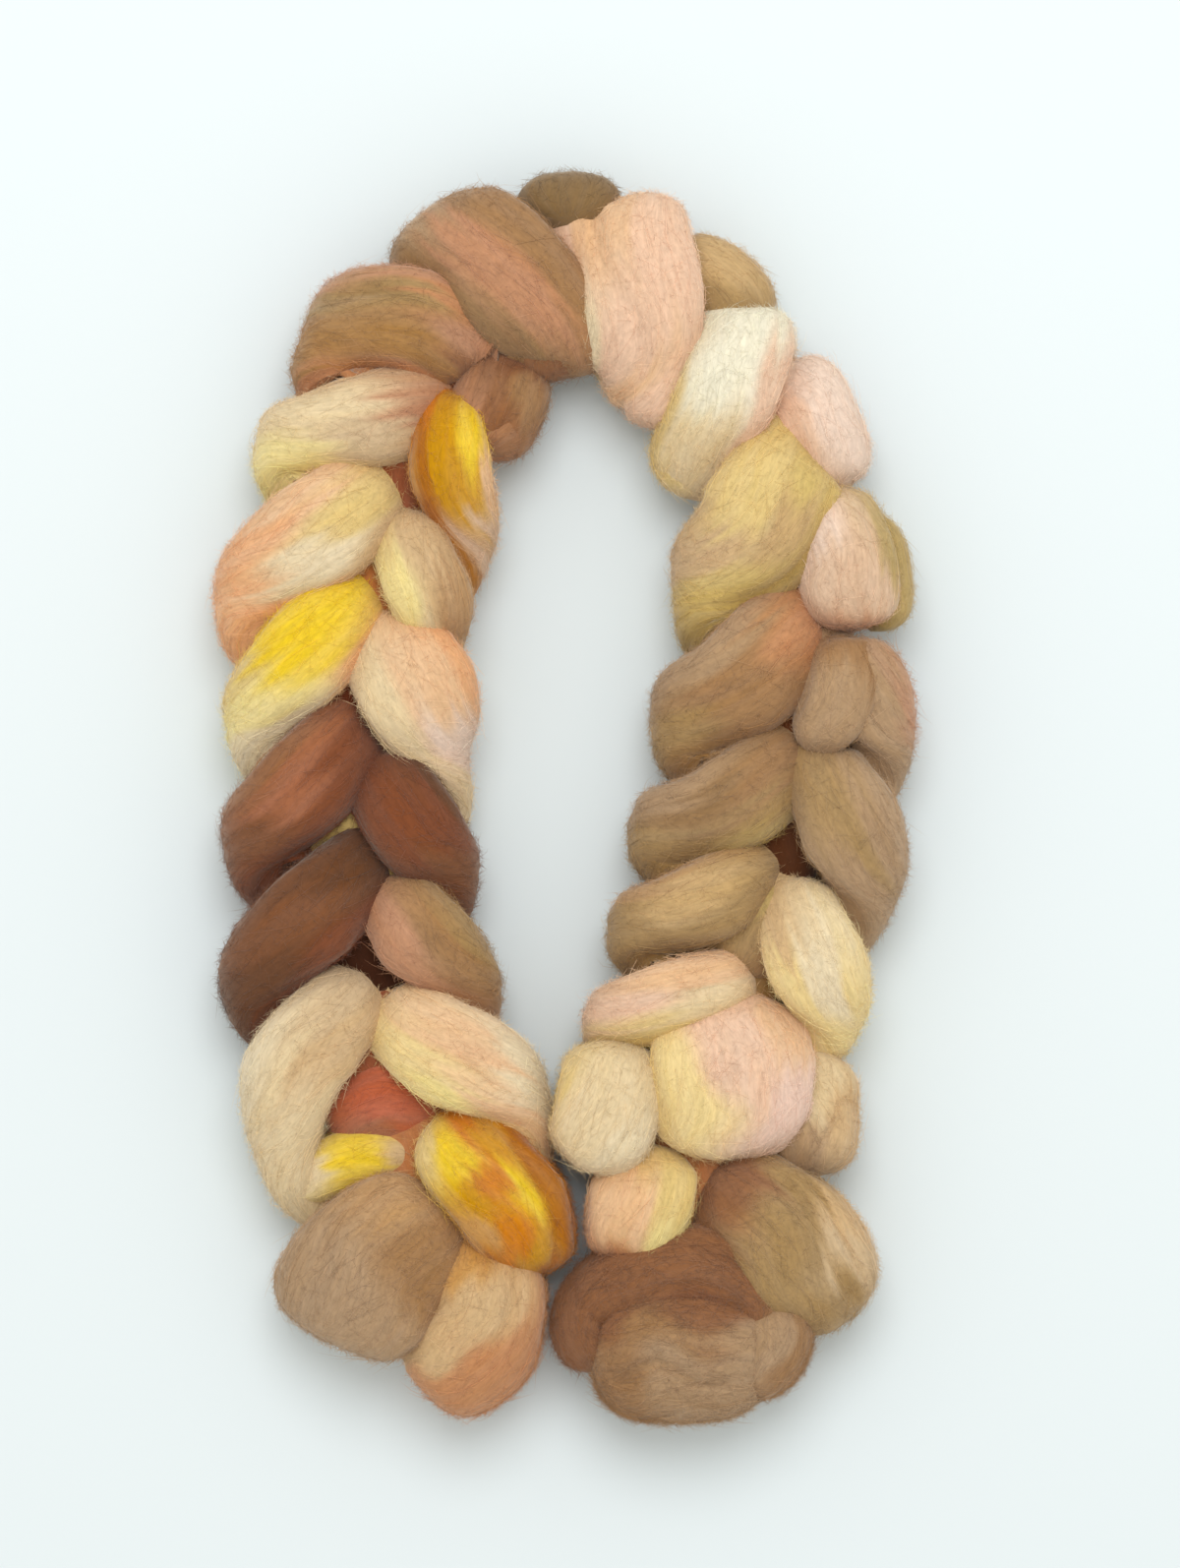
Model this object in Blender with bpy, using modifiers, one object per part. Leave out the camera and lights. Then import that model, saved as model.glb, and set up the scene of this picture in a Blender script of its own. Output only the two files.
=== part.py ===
# Braid of dyed wool roving, laid on a table in a tall U with both ends together at the bottom.
# One long length of combed top is chained on itself, so each visible fold is the same soft strand
# coming out of the middle of the braid, fattening over the top and wrapping round the edge.
# Metres, +Z up; the braid lies on z = 0 with the arch of the U towards +Y.

import math

import bmesh
import bpy
import numpy as np

MM = 0.001

# driving sizes, in millimetres
MID_HEIGHT = 23.0          # middle plane of the braid above the table, once it has settled
EDGE_REACH = 33.0          # from the braid's spine to the middle of a strand at its edge
CROWN_REACH = 13.0         # from the middle plane to the middle of a strand on top
CORE_WIDTH = 42.0          # the strand hidden inside the braid
CORE_THICKNESS = 20.0
TAPER = {"wrap": 4.0, "over": 5.0, "copy": 3.6, "none": 3.6}   # how bluntly a fold's ends close
CORE_TAPER = 12.0
GATHER = 0.2               # share of its width that a wrapping strand loses as it rounds the edge
GATHER_LENGTH = 0.3        # over this share of half its length
HEAD_BACK = 0.27           # a wrapping strand turns down this share of the way from its tip to its crown
HEAD_HEIGHT = 33.0         # from this height
ROOT_OUT = 0.05            # to its root, this share of the same way past the tip
ROOT_HEIGHT = 11.0
ROOT_HEIGHT_BELOW = 30.0   # the strand's other end, which comes up from the underside
OVER_RETURN = 0.35         # how far a fold over the arch turns back under, as a share of its half
LEAN_DEPTH = 15.0          # folds that lie on top face away from a line this far below the middle
LEAST_AWAY = 0.0001        # keeps outward pointing up where a strand lies on the middle line itself
SIDE_SQUARENESS = 0.9      # 1 is an ellipse across the strand; less is fuller at the corners

# meshing
SPINE_STATIONS = 600       # steps along the spine
CORE_INSET = 20            # of those, left off each end of the core
STATIONS = 120             # steps along a fold
RINGS = 40                 # mesh rings along a fold
SIDES = 32                 # mesh sides around a fold
VOXEL_SIZE = 0.0027
SMOOTH_STEPS = 1
TRIANGLE_BUDGET = 10800
SMALLEST_EDGE = 0.0002
ON_TABLE = 0.000001

# wool
WOOL_COLOUR = (0.62, 0.43, 0.27, 1.0)
WOOL_ROUGHNESS = 0.95

# The spine: the middle line of the braid in plan, from the left end over the arch to the right end.
SPINE = [
    (-37, -183), (-51, -155), (-64, -109), (-72, -60), (-76, -15), (-77, 31), (-73, 76),
    (-64, 118), (-41, 160), (-2, 181), (36, 174), (64, 143), (79, 101), (78, 59),
    (76, 17), (68, -25), (57, -67), (48, -102), (50, -137), (54, -183),
]

# The folds, in millimetres. The a column runs up the outside of the left arm, over the top of the
# arch and down the inside of the right arm, so the braid makes a half turn on the way; the b column
# is opposite it; g folds are glimpsed between the two. A fold's way is its middle line: it leaves
# the middle of the braid at its tip, is fullest at its crown and reaches the edge at its foot.
# Heights are above the table before the braid settles. tilt lifts the side that overlaps the next
# fold, in degrees. under says how the fold goes on below: "wrap" round the edge and back to the
# middle, "over" down both edges, "copy" the same fold again on the underside, or "none".
FOLD_COLUMNS = ("name", "way", "width", "thickness", "tilt", "under")
FOLDS = [
    ("a1", [(-42, -139, 27), (-70, -168, 31), (-79, -194, 25)], 67, 42, 0, "copy"),
    ("a2", [(-70, -62, 30), (-92, -97, 37), (-103, -115, 26)], 45, 27, 14, "wrap"),
    ("a3", [(-66, -21, 30), (-93, -46, 38), (-108, -69, 26)], 43, 27, 14, "wrap"),
    ("a4", [(-72, 25, 30), (-94, 1, 38), (-108, -18, 26)], 45, 27, 14, "wrap"),
    ("a5", [(-70, 73, 30), (-95, 46, 38), (-107, 26, 26)], 45, 27, 14, "wrap"),
    ("a6", [(-63, 113, 30), (-91, 89, 38), (-110, 69, 26)], 48, 27, 14, "wrap"),
    ("a7", [(-44, 140, 30), (-79, 130, 37), (-98, 122, 26)], 38, 26, 14, "wrap"),
    ("a8", [(-16, 152, 22), (-57, 168, 38), (-79, 162, 27)], 53, 30, 7, "wrap"),
    ("a9", [(-3, 164, 27), (-25, 184, 38), (-43, 196, 26)], 49, 28, 7, "over"),
    ("a10", [(23, 199, 26), (28, 173, 39), (26, 147, 26)], 48, 28, -10, "over"),
    ("a11", [(61, 174, 24), (56, 144, 40), (42, 106, 22)], 44, 28, 0, "copy"),
    ("a12", [(83, 129, 30), (67, 94, 38), (53, 72, 26)], 52, 28, 14, "wrap"),
    ("a13", [(86, 71, 30), (62, 39, 38), (45, 24, 26)], 48, 28, 14, "wrap"),
    ("a14", [(82, 18, 30), (55, -5, 38), (35, -19, 26)], 44, 27, 14, "wrap"),
    ("a15", [(73, -23, 30), (47, -40, 38), (29, -51, 26)], 38, 26, 14, "wrap"),
    ("a16", [(65, -66, 30), (36, -74, 38), (19, -83, 26)], 38, 26, 14, "wrap"),
    ("a17", [(26, -85, 30), (16, -113, 38), (8, -130, 28)], 43, 30, 4, "copy"),
    ("a18", [(30, -123, 28), (26, -146, 36), (19, -169, 27)], 44, 28, 0, "copy"),
    ("a19", [(12, -205, 20), (10, -188, 25), (26, -173, 32),
             (48, -169, 36), (67, -180, 35), (60, -193, 31)], 31, 30, 0, "copy"),
    ("a20", [(10, -205, 22), (43, -199, 29), (78, -196, 26)], 46, 42, 0, "copy"),
    ("a21", [(75, -180, 28), (76, -194, 30), (63, -208, 25)], 28, 32, 0, "copy"),
    ("b1", [(-29, -157, 26), (-33, -188, 30), (-56, -205, 26)], 54, 40, 0, "copy"),
    ("b2", [(-48, -113, 30), (-23, -143, 37), (-8, -172, 26)], 47, 30, -9, "copy"),
    ("b3", [(-67, -74, 30), (-38, -95, 38), (-19, -113, 26)], 42, 27, -14, "wrap"),
    ("b4", [(-66, -31, 30), (-49, -53, 37), (-38, -69, 26)], 40, 26, -14, "wrap"),
    ("b5", [(-69, 14, 30), (-54, -13, 37), (-45, -27, 26)], 41, 26, -14, "wrap"),
    ("b6", [(-66, 64, 30), (-51, 33, 38), (-44, 15, 26)], 44, 27, -14, "wrap"),
    ("b7", [(-60, 108, 30), (-51, 77, 37), (-51, 59, 26)], 36, 26, -14, "wrap"),
    ("b8", [(-44, 142, 30), (-42, 113, 37), (-39, 91, 26)], 35, 26, -14, "wrap"),
    ("b9", [(-19, 152, 26), (-27, 136, 28), (-30, 122, 20)], 32, 26, -4, "copy"),
    ("b10", [(1, 207, 24), (-2, 183, 15), (-4, 160, 24)], 38, 24, 0, "over"),
    ("b12", [(63, 187, 24), (50, 167, 15), (40, 120, 15)], 40, 28, 0, "none"),
    ("b13", [(75, 152, 24), (84, 131, 30), (88, 113, 24)], 33, 28, 0, "copy"),
    ("b14", [(88, 110, 30), (98, 81, 37), (98, 61, 32)], 40, 28, -4, "copy"),
    ("b14rim", [(102, 101, 26), (110, 78, 27), (108, 58, 24)], 25, 28, 0, "copy"),
    ("b15top", [(91, 60, 30), (98, 38, 40), (96, 14, 34)], 28, 22, 0, "none"),
    ("b15", [(94, 53, 28), (106, 33, 34), (109, 19, 26)], 38, 26, -14, "wrap"),
    ("b16", [(86, 16, 30), (100, -14, 37), (104, -32, 26)], 42, 27, -14, "wrap"),
    ("b17", [(74, -30, 30), (86, -62, 37), (90, -79, 26)], 42, 27, -14, "wrap"),
    ("b18", [(62, -69, 30), (61, -102, 40), (62, -129, 30)], 60, 30, 0, "copy"),
    ("b18side", [(84, -88, 28), (86, -113, 27), (86, -137, 24)], 36, 28, 0, "copy"),
    ("b19", [(49, -132, 28), (79, -160, 36), (96, -184, 25)], 54, 32, -4, "copy"),
    ("g1", [(-85, -120, 22), (-65, -109, 26), (-43, -112, 22)], 34, 24, 0, "none"),
    ("g2", [(-97, -142, 20), (-79, -130, 23), (-52, -128, 22)], 20, 20, 0, "none"),
    ("g4", [(75, -34, 24), (68, -48, 27), (58, -62, 22)], 24, 20, 0, "none"),
]
TABLE_MID_HEIGHT = 26.0    # middle plane that the heights in FOLDS are counted about


def clear_scene():
    for obj in list(bpy.data.objects):
        bpy.data.objects.remove(obj, do_unlink=True)


def unit(vectors):
    return vectors / np.linalg.norm(vectors, axis=-1, keepdims=True)


def curve_through(points, count):
    # A cubic through every point, whose slope at each one is half the chord of its neighbours.
    first = 2 * points[0] - points[1]
    last = 2 * points[-1] - points[-2]
    padded = np.vstack([first, points, last])
    at = np.linspace(0, len(points) - 1, count)
    span = np.minimum(at.astype(int), len(points) - 2)
    f = (at - span)[:, None]
    a, b, c, d = (padded[span + k] for k in range(4))
    return 0.5 * (2 * b + (c - a) * f + (2 * a - 5 * b + 4 * c - d) * f**2 + (3 * b - a - 3 * c + d) * f**3)


def make_spine():
    points = np.array([(x, y, TABLE_MID_HEIGHT) for x, y in SPINE], float)
    line = curve_through(points, SPINE_STATIONS)
    return line, unit(np.gradient(line, axis=0))


def nearest_on(spine, points):
    apart = points[:, None, :2] - spine[None, :, :2]
    return (apart**2).sum(axis=2).argmin(axis=1)


def fold_points(fold, spine, heading):
    points = [np.array(point, float) for point in fold["way"]]
    if fold["under"] == "wrap":
        # Below, the strand mirrors its upper half across the foot, so it keeps its slant round the edge.
        tip, crown, foot = points
        head = tip + (crown - tip) * HEAD_BACK
        root = tip + (tip - crown) * ROOT_OUT
        head[2], root[2] = HEAD_HEIGHT, ROOT_HEIGHT
        points = [root, head, crown, foot]
        along = heading[nearest_on(spine, foot[None])[0]]
        for above in (crown, head, root):
            below = above - 2 * np.dot(above - foot, along) * along
            below[2] = min(2 * TABLE_MID_HEIGHT - above[2], ROOT_HEIGHT_BELOW)
            points.append(below)
    if fold["under"] == "over":
        tip, crown, foot = points
        turned = [end + (crown - end) * OVER_RETURN for end in (tip, foot)]
        for point in turned:
            point[2] = 2 * TABLE_MID_HEIGHT - crown[2]
        points = [turned[0], tip, crown, foot, turned[1]]
    return np.array(points)


def strand_frames(path, spine, heading, tilt, lean):
    # Across and outward directions at each point: outward is away from the braid's flat oval middle.
    tangent = unit(np.gradient(path, axis=0))
    nearest = nearest_on(spine, path)
    away = path - spine[nearest]
    away -= (away * heading[nearest]).sum(axis=1)[:, None] * heading[nearest]
    away[:, 2] += lean
    away /= np.array([EDGE_REACH**2, EDGE_REACH**2, CROWN_REACH**2])
    away[:, 2] += LEAST_AWAY
    outward = unit(away - (away * tangent).sum(axis=1)[:, None] * tangent)
    across = np.cross(tangent, outward)
    turn = math.radians(tilt)
    lifted = outward * math.cos(turn) - across * math.sin(turn)
    return across * math.cos(turn) + outward * math.sin(turn), lifted


def add_strand(bm, path, across, outward, half_width, half_thickness, underside=False):
    # A UV sphere drawn out along the path: its poles go to the ends and its belly takes the section.
    ball = bmesh.ops.create_uvsphere(bm, u_segments=SIDES, v_segments=RINGS, radius=1.0)["verts"]
    lines = (path, across, outward, half_width[:, None], half_thickness[:, None])
    for vert in ball:
        along = 1 - math.acos(max(-1.0, min(1.0, vert.co.z))) / math.pi
        place = along * (len(path) - 1)
        low = min(int(place), len(path) - 2)
        part = place - low
        centre, side, out, wide, deep = (
            line[low] * (1 - part) + line[low + 1] * part for line in lines
        )
        angle = math.atan2(vert.co.y, vert.co.x)
        c = math.copysign(abs(math.cos(angle)) ** SIDE_SQUARENESS, math.cos(angle))
        s = math.copysign(abs(math.sin(angle)) ** SIDE_SQUARENESS, math.sin(angle))
        point = centre + side * wide * c + out * deep * s
        height = point[2] - TABLE_MID_HEIGHT
        point[2] = MID_HEIGHT - height if underside else MID_HEIGHT + height
        vert.co = point * MM


def add_fold(bm, fold, spine, heading):
    under = fold["under"]
    path = curve_through(fold_points(fold, spine, heading), STATIONS)
    lean = LEAN_DEPTH if under in ("copy", "none") else 0.0
    across, outward = strand_frames(path, spine, heading, fold["tilt"], lean)
    station = np.linspace(-1, 1, STATIONS)
    swell = (1 - np.abs(station) ** TAPER[under]) ** 0.5
    gather = GATHER * np.exp(-((station / GATHER_LENGTH) ** 2)) if under == "wrap" else 0 * station
    half_width = fold["width"] / 2 * swell * (1 - gather)
    half_thickness = fold["thickness"] / 2 * swell * (1 + gather / 2)
    add_strand(bm, path, across, outward, half_width, half_thickness)
    if under == "copy":
        add_strand(bm, path, across, outward, half_width, half_thickness, underside=True)


def add_core(bm, spine, heading):
    up = np.array([0.0, 0.0, 1.0])
    path = spine[CORE_INSET:-CORE_INSET]
    across = np.cross(heading[CORE_INSET:-CORE_INSET], up)
    outward = np.tile(up, (len(path), 1))
    swell = (1 - np.abs(np.linspace(-1, 1, len(path))) ** CORE_TAPER) ** 0.5
    add_strand(bm, path, across, outward, CORE_WIDTH / 2 * swell, CORE_THICKNESS / 2 * swell)


def raw_strands():
    spine, heading = make_spine()
    bm = bmesh.new()
    add_core(bm, spine, heading)
    for row in FOLDS:
        add_fold(bm, dict(zip(FOLD_COLUMNS, row)), spine, heading)
    bmesh.ops.recalc_face_normals(bm, faces=bm.faces)
    mesh = bpy.data.meshes.new("strands")
    bm.to_mesh(mesh)
    bm.free()
    return mesh


def baked(mesh, collection, modifiers):
    # The mesh as a short modifier stack leaves it.
    obj = bpy.data.objects.new("working", mesh)
    collection.objects.link(obj)
    for kind, settings in modifiers:
        modifier = obj.modifiers.new(kind.lower(), kind)
        for key, value in settings.items():
            setattr(modifier, key, value)
    seen = obj.evaluated_get(bpy.context.evaluated_depsgraph_get())
    result = bpy.data.meshes.new_from_object(seen)
    bpy.data.objects.remove(obj, do_unlink=True)
    return result


def largest_skin(mesh):
    # Drops the skins of pockets shut in between folds, and the crumbs that the table's cut leaves.
    bm = bmesh.new()
    bm.from_mesh(mesh)
    left = set(bm.faces)
    shells = []
    while left:
        shell = set()
        front = [left.pop()]
        while front:
            face = front.pop()
            shell.add(face)
            for edge in face.edges:
                for other in edge.link_faces:
                    if other in left:
                        left.remove(other)
                        front.append(other)
        shells.append(shell)
    shells.sort(key=len)
    for shell in shells[:-1]:
        bmesh.ops.delete(bm, geom=list(shell), context="FACES")
    bm.to_mesh(mesh)
    bm.free()


def rest_flat(mesh):
    # The wool that would sink into the table is cut away, which leaves flat patches to rest on.
    bm = bmesh.new()
    bm.from_mesh(mesh)
    for vert in bm.verts:
        if abs(vert.co.z) < SMALLEST_EDGE:
            vert.co.z = 0.0
    everything = bm.verts[:] + bm.edges[:] + bm.faces[:]
    bmesh.ops.bisect_plane(bm, geom=everything, dist=ON_TABLE, plane_co=(0, 0, 0), plane_no=(0, 0, -1),
                           clear_outer=True)
    rims = [edge for edge in bm.edges if edge.is_boundary]
    bmesh.ops.holes_fill(bm, edges=rims, sides=0)
    bmesh.ops.triangulate(bm, faces=[face for face in bm.faces if len(face.verts) > 3])
    bmesh.ops.remove_doubles(bm, verts=bm.verts, dist=SMALLEST_EDGE)
    bmesh.ops.recalc_face_normals(bm, faces=bm.faces)
    bm.to_mesh(mesh)
    bm.free()


def centre_in_plan(mesh):
    # The row's origin is under the middle of the braid's box.
    count = len(mesh.vertices)
    co = np.empty(count * 3)
    mesh.vertices.foreach_get("co", co)
    co = co.reshape(-1, 3)
    co[:, :2] -= (co[:, :2].min(axis=0) + co[:, :2].max(axis=0)) / 2
    mesh.vertices.foreach_set("co", co.ravel())
    mesh.update()


def wool_material():
    material = bpy.data.materials.new("wool")
    material.use_nodes = True
    shader = material.node_tree.nodes["Principled BSDF"]
    shader.inputs["Base Color"].default_value = WOOL_COLOUR
    shader.inputs["Roughness"].default_value = WOOL_ROUGHNESS
    shader.inputs["Metallic"].default_value = 0.0
    material.diffuse_color = WOOL_COLOUR
    return material


def make_braid(collection):
    skin = baked(raw_strands(), collection, [
        ("REMESH", {"mode": "VOXEL", "voxel_size": VOXEL_SIZE, "adaptivity": 0.0}),
        ("SMOOTH", {"factor": 0.5, "iterations": SMOOTH_STEPS}),
    ])
    largest_skin(skin)
    skin.calc_loop_triangles()
    share = TRIANGLE_BUDGET / len(skin.loop_triangles)
    mesh = baked(skin, collection, [
        ("DECIMATE", {"decimate_type": "COLLAPSE", "ratio": share, "use_collapse_triangulate": True}),
    ])
    rest_flat(mesh)
    largest_skin(mesh)
    centre_in_plan(mesh)
    mesh.name = "braid"
    mesh.materials.clear()
    mesh.materials.append(wool_material())
    braid = bpy.data.objects.new("braid", mesh)
    collection.objects.link(braid)
    return braid


clear_scene()
parts = bpy.data.collections.new("roving braid")
bpy.context.scene.collection.children.link(parts)
make_braid(parts)
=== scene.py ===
import math

import bpy
import numpy as np
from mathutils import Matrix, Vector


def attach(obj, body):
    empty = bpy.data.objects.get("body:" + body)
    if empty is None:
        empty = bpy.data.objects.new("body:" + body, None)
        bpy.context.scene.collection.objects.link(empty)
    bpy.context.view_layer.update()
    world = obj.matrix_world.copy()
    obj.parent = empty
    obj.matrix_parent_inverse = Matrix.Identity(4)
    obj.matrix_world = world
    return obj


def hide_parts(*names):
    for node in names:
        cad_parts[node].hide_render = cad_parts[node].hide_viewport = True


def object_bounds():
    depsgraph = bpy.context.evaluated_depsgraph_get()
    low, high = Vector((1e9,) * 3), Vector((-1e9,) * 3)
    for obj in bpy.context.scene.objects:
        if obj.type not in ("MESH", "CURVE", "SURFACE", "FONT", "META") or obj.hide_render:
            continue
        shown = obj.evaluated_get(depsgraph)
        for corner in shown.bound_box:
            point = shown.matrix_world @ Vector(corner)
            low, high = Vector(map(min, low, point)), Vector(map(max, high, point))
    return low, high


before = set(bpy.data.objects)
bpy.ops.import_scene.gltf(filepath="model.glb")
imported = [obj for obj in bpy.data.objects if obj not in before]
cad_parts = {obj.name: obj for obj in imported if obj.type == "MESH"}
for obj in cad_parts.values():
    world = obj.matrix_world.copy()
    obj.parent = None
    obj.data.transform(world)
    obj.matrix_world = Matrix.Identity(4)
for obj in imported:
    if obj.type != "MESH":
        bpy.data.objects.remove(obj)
cadLow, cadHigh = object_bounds()
print("frame loaded")

mm = 0.001

# The braid, in millimetres. The spine is its middle line in plan; the chained roving lies round it.
braid = {
    "midHeight": 23.0,       # middle plane of the braid once it has settled
    "tableMid": 26.0,        # middle plane that the heights in the folds table are counted about
    "edgeReach": 33.0,       # spine to the middle of a strand at the braid's edge
    "crownReach": 13.0,      # middle plane to the middle of a strand on top
    "taper": {"wrap": 4.0, "over": 5.0, "copy": 3.6, "none": 3.6, "core": 12.0},    # more is blunter
    "gather": 0.2,           # share of its width that a wrapping strand loses as it rounds the edge
    "gatherLength": 0.3,     # share of half its length
    "headBack": 0.27,        # a wrapping strand turns down this share of the way from tip to crown
    "headHeight": 33.0,      # heights of the head and the root
    "headHeights": {"a8": 22.0},    # one that passes under its neighbour
    "rootOut": 0.05,         # to its root, this share of the same way past the tip
    "rootHeight": 11.0,
    "rootHeightBelow": 30.0,
    "rootless": ("a8",),     # below, its root would show beside the hole
    "overReturn": 0.35,      # a strand over the arch turns back this share of the way to its crown
    "leanDepth": 15.0,       # folds that lie on top face away from a line this far below the spine
    "squareness": 0.9,       # power of the section's cosine and sine; 1 is an ellipse
    "flatten": 1.3,          # wool lower than this is pressed towards the table
    "stations": 600,         # points along the spine
    "foldStations": 160,     # and along a fold's way
    "spine": [
        (-37, -183), (-51, -155), (-64, -109), (-72, -60), (-76, -15), (-77, 31), (-73, 76),
        (-64, 118), (-41, 160), (-2, 181), (36, 174), (64, 143), (79, 101), (78, 59),
        (76, 17), (68, -25), (57, -67), (48, -102), (50, -137), (54, -183),
    ],
}

# name, way (tip, crown, foot), width, thickness, tilt, how it goes on below: "wrap" round the edge and
# back to the middle, "over" down at both ends, "copy" again on the underside, "below" only there, "none".
# The a column runs up the outside of the left arm, over the arch and down the inside of the right one.
# b is opposite it, g folds are glimpsed between the two, and c folds close the middle of the underside.
foldColumns = ("name", "way", "width", "thick", "tilt", "under")
folds = [
    ("a1", [(-40, -142, 27), (-67, -171, 31), (-77, -197, 25)], 67, 42, 0, "copy"),
    ("a2", [(-70, -67, 30), (-95, -94, 37), (-99, -121, 26)], 41, 27, 14, "wrap"),
    ("a3", [(-66, -21, 30), (-93, -46, 38), (-108, -69, 26)], 43, 27, 14, "wrap"),
    ("a4", [(-72, 25, 30), (-94, 1, 38), (-108, -18, 26)], 45, 27, 14, "wrap"),
    ("a5", [(-70, 73, 30), (-95, 46, 38), (-107, 26, 26)], 45, 27, 14, "wrap"),
    ("a6", [(-63, 113, 30), (-91, 89, 38), (-110, 69, 26)], 48, 27, 14, "wrap"),
    ("a7", [(-44, 138, 30), (-78, 131, 37), (-98, 124, 26)], 43, 26, 14, "wrap"),
    ("a8", [(-15, 152, 14), (-56, 168, 37), (-79, 162, 27)], 53, 30, 7, "wrap"),
    ("a9", [(3, 161, 27), (-23, 184, 38), (-43, 196, 26)], 53, 28, 7, "over"),
    ("a10", [(15, 201, 28), (24, 174, 39), (26, 149, 26)], 54, 28, -10, "over"),
    ("a11", [(63, 176, 25), (57, 145, 40), (42, 106, 22)], 45, 28, 0, "copy"),
    ("a12", [(84, 124, 30), (70, 93, 39), (53, 73, 26)], 56, 28, 14, "wrap"),
    ("a13", [(87, 65, 30), (62, 39, 38), (44, 23, 26)], 50, 28, 14, "wrap"),
    ("a14", [(83, 14, 30), (56, -5, 38), (35, -16, 26)], 45, 27, 14, "wrap"),
    ("a15", [(73, -28, 30), (47, -39, 38), (28, -48, 26)], 40, 26, 14, "wrap"),
    ("a16", [(65, -66, 30), (36, -74, 38), (19, -83, 26)], 38, 26, 14, "wrap"),
    ("a17", [(25, -87, 30), (14, -114, 38), (7, -133, 28)], 45, 30, 4, "copy"),
    ("a18", [(30, -123, 28), (26, -146, 36), (19, -169, 27)], 44, 28, 0, "copy"),
    ("a19", [(12, -205, 20), (10, -188, 25), (26, -173, 32),
             (48, -169, 35), (67, -180, 34), (60, -193, 31)], 34, 30, 0, "copy"),
    ("a20", [(8, -201, 22), (41, -195, 31), (74, -196, 27)], 54, 42, 0, "copy"),
    ("a21", [(71, -181, 30), (72, -195, 32), (60, -209, 26)], 29, 32, 0, "copy"),
    ("b1", [(-33, -151, 26), (-34, -187, 30), (-57, -205, 26)], 56, 40, 0, "copy"),
    ("b2", [(-48, -113, 30), (-23, -143, 37), (-8, -172, 26)], 47, 30, -9, "copy"),
    ("b3", [(-67, -74, 30), (-36, -95, 38), (-16, -113, 27)], 43, 27, -14, "wrap"),
    ("b4", [(-66, -31, 30), (-49, -53, 37), (-38, -69, 26)], 40, 26, -14, "wrap"),
    ("b5", [(-69, 14, 30), (-54, -13, 37), (-45, -27, 26)], 41, 26, -14, "wrap"),
    ("b6", [(-66, 64, 30), (-54, 36, 38), (-49, 17, 26)], 49, 27, -14, "wrap"),
    ("b7", [(-60, 101, 30), (-50, 71, 37), (-50, 53, 26)], 37, 26, -14, "wrap"),
    ("b8", [(-44, 142, 30), (-42, 113, 37), (-39, 91, 26)], 35, 26, -14, "wrap"),
    ("b9", [(-17, 156, 24), (-26, 137, 28), (-31, 121, 20)], 34, 26, -4, "copy"),
    ("b10", [(1, 210, 24), (-2, 186, 15), (-4, 160, 24)], 38, 24, 0, "over"),
    ("b12", [(36, 190, 24), (54, 181, 26), (66, 163, 22)], 30, 28, 0, "none"),
    ("b13", [(75, 154, 24), (87, 132, 30), (96, 106, 24)], 34, 28, 0, "copy"),
    ("b14", [(88, 110, 30), (98, 80, 36), (99, 57, 31)], 40, 28, -4, "copy"),
    ("b14rim", [(102, 101, 26), (110, 78, 27), (108, 58, 24)], 25, 28, 0, "copy"),
    ("b15top", [(94, 58, 30), (96, 37, 40), (85, 14, 35)], 32, 22, 0, "none"),
    ("b15", [(94, 53, 28), (106, 33, 34), (109, 19, 26)], 38, 26, -14, "wrap"),
    ("b16", [(86, 16, 30), (100, -14, 37), (104, -32, 26)], 42, 27, -14, "wrap"),
    ("b17", [(76, -30, 30), (88, -62, 37), (90, -79, 26)], 41, 27, -14, "wrap"),
    ("b18", [(60, -69, 30), (58, -102, 40), (58, -131, 30)], 65, 30, 0, "copy"),
    ("b18side", [(84, -88, 28), (86, -113, 27), (86, -137, 24)], 36, 28, 0, "copy"),
    ("b19", [(49, -132, 28), (78, -161, 36), (94, -190, 25)], 53, 32, -4, "copy"),
    ("g1", [(-85, -120, 22), (-65, -109, 26), (-43, -112, 22)], 34, 24, 0, "none"),
    ("g2", [(-97, -142, 24), (-79, -130, 28), (-52, -128, 27)], 22, 20, 0, "none"),
    ("g4", [(76, -32, 26), (68, -47, 31), (58, -63, 26)], 30, 24, 0, "none"),
    ("c1", [(-14, 145, 26), (-31, 164, 38), (-46, 186, 26)], 48, 28, 0, "below"),
    ("c2", [(16, 196, 26), (22, 174, 38), (27, 152, 26)], 42, 28, 0, "below"),
    ("c3", [(88, 122, 26), (74, 98, 37), (60, 84, 28)], 38, 28, 0, "below"),
    ("c4", [(-66, 132, 26), (-50, 117, 37), (-36, 106, 26)], 34, 28, 0, "below"),
]

# Lengths of the strand hidden inside the braid: first and last station of the spine, dye.
coreLengths = [
    ("core1", 18, 66, "coral"), ("core2", 58, 92, "redBrown"), ("core3", 86, 116, "umber"),
    ("core4", 110, 142, "straw"), ("core5", 136, 174, "chestnut"), ("core6", 168, 208, "coral"),
    ("core7", 202, 246, "redBrown"), ("core8", 240, 330, "cocoa"), ("core9", 322, 400, "bronze"),
    ("core10", 392, 456, "cocoa"), ("core11", 450, 484, "chocolate"), ("core12", 478, 512, "khaki"),
    ("core13", 506, 548, "tan"), ("core14", 542, 582, "coral"),
]
coreSize = {"width": 42.0, "thick": 19.0, "coarse": 2.2}      # mm, mm, times the folds' grid spacing

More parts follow.
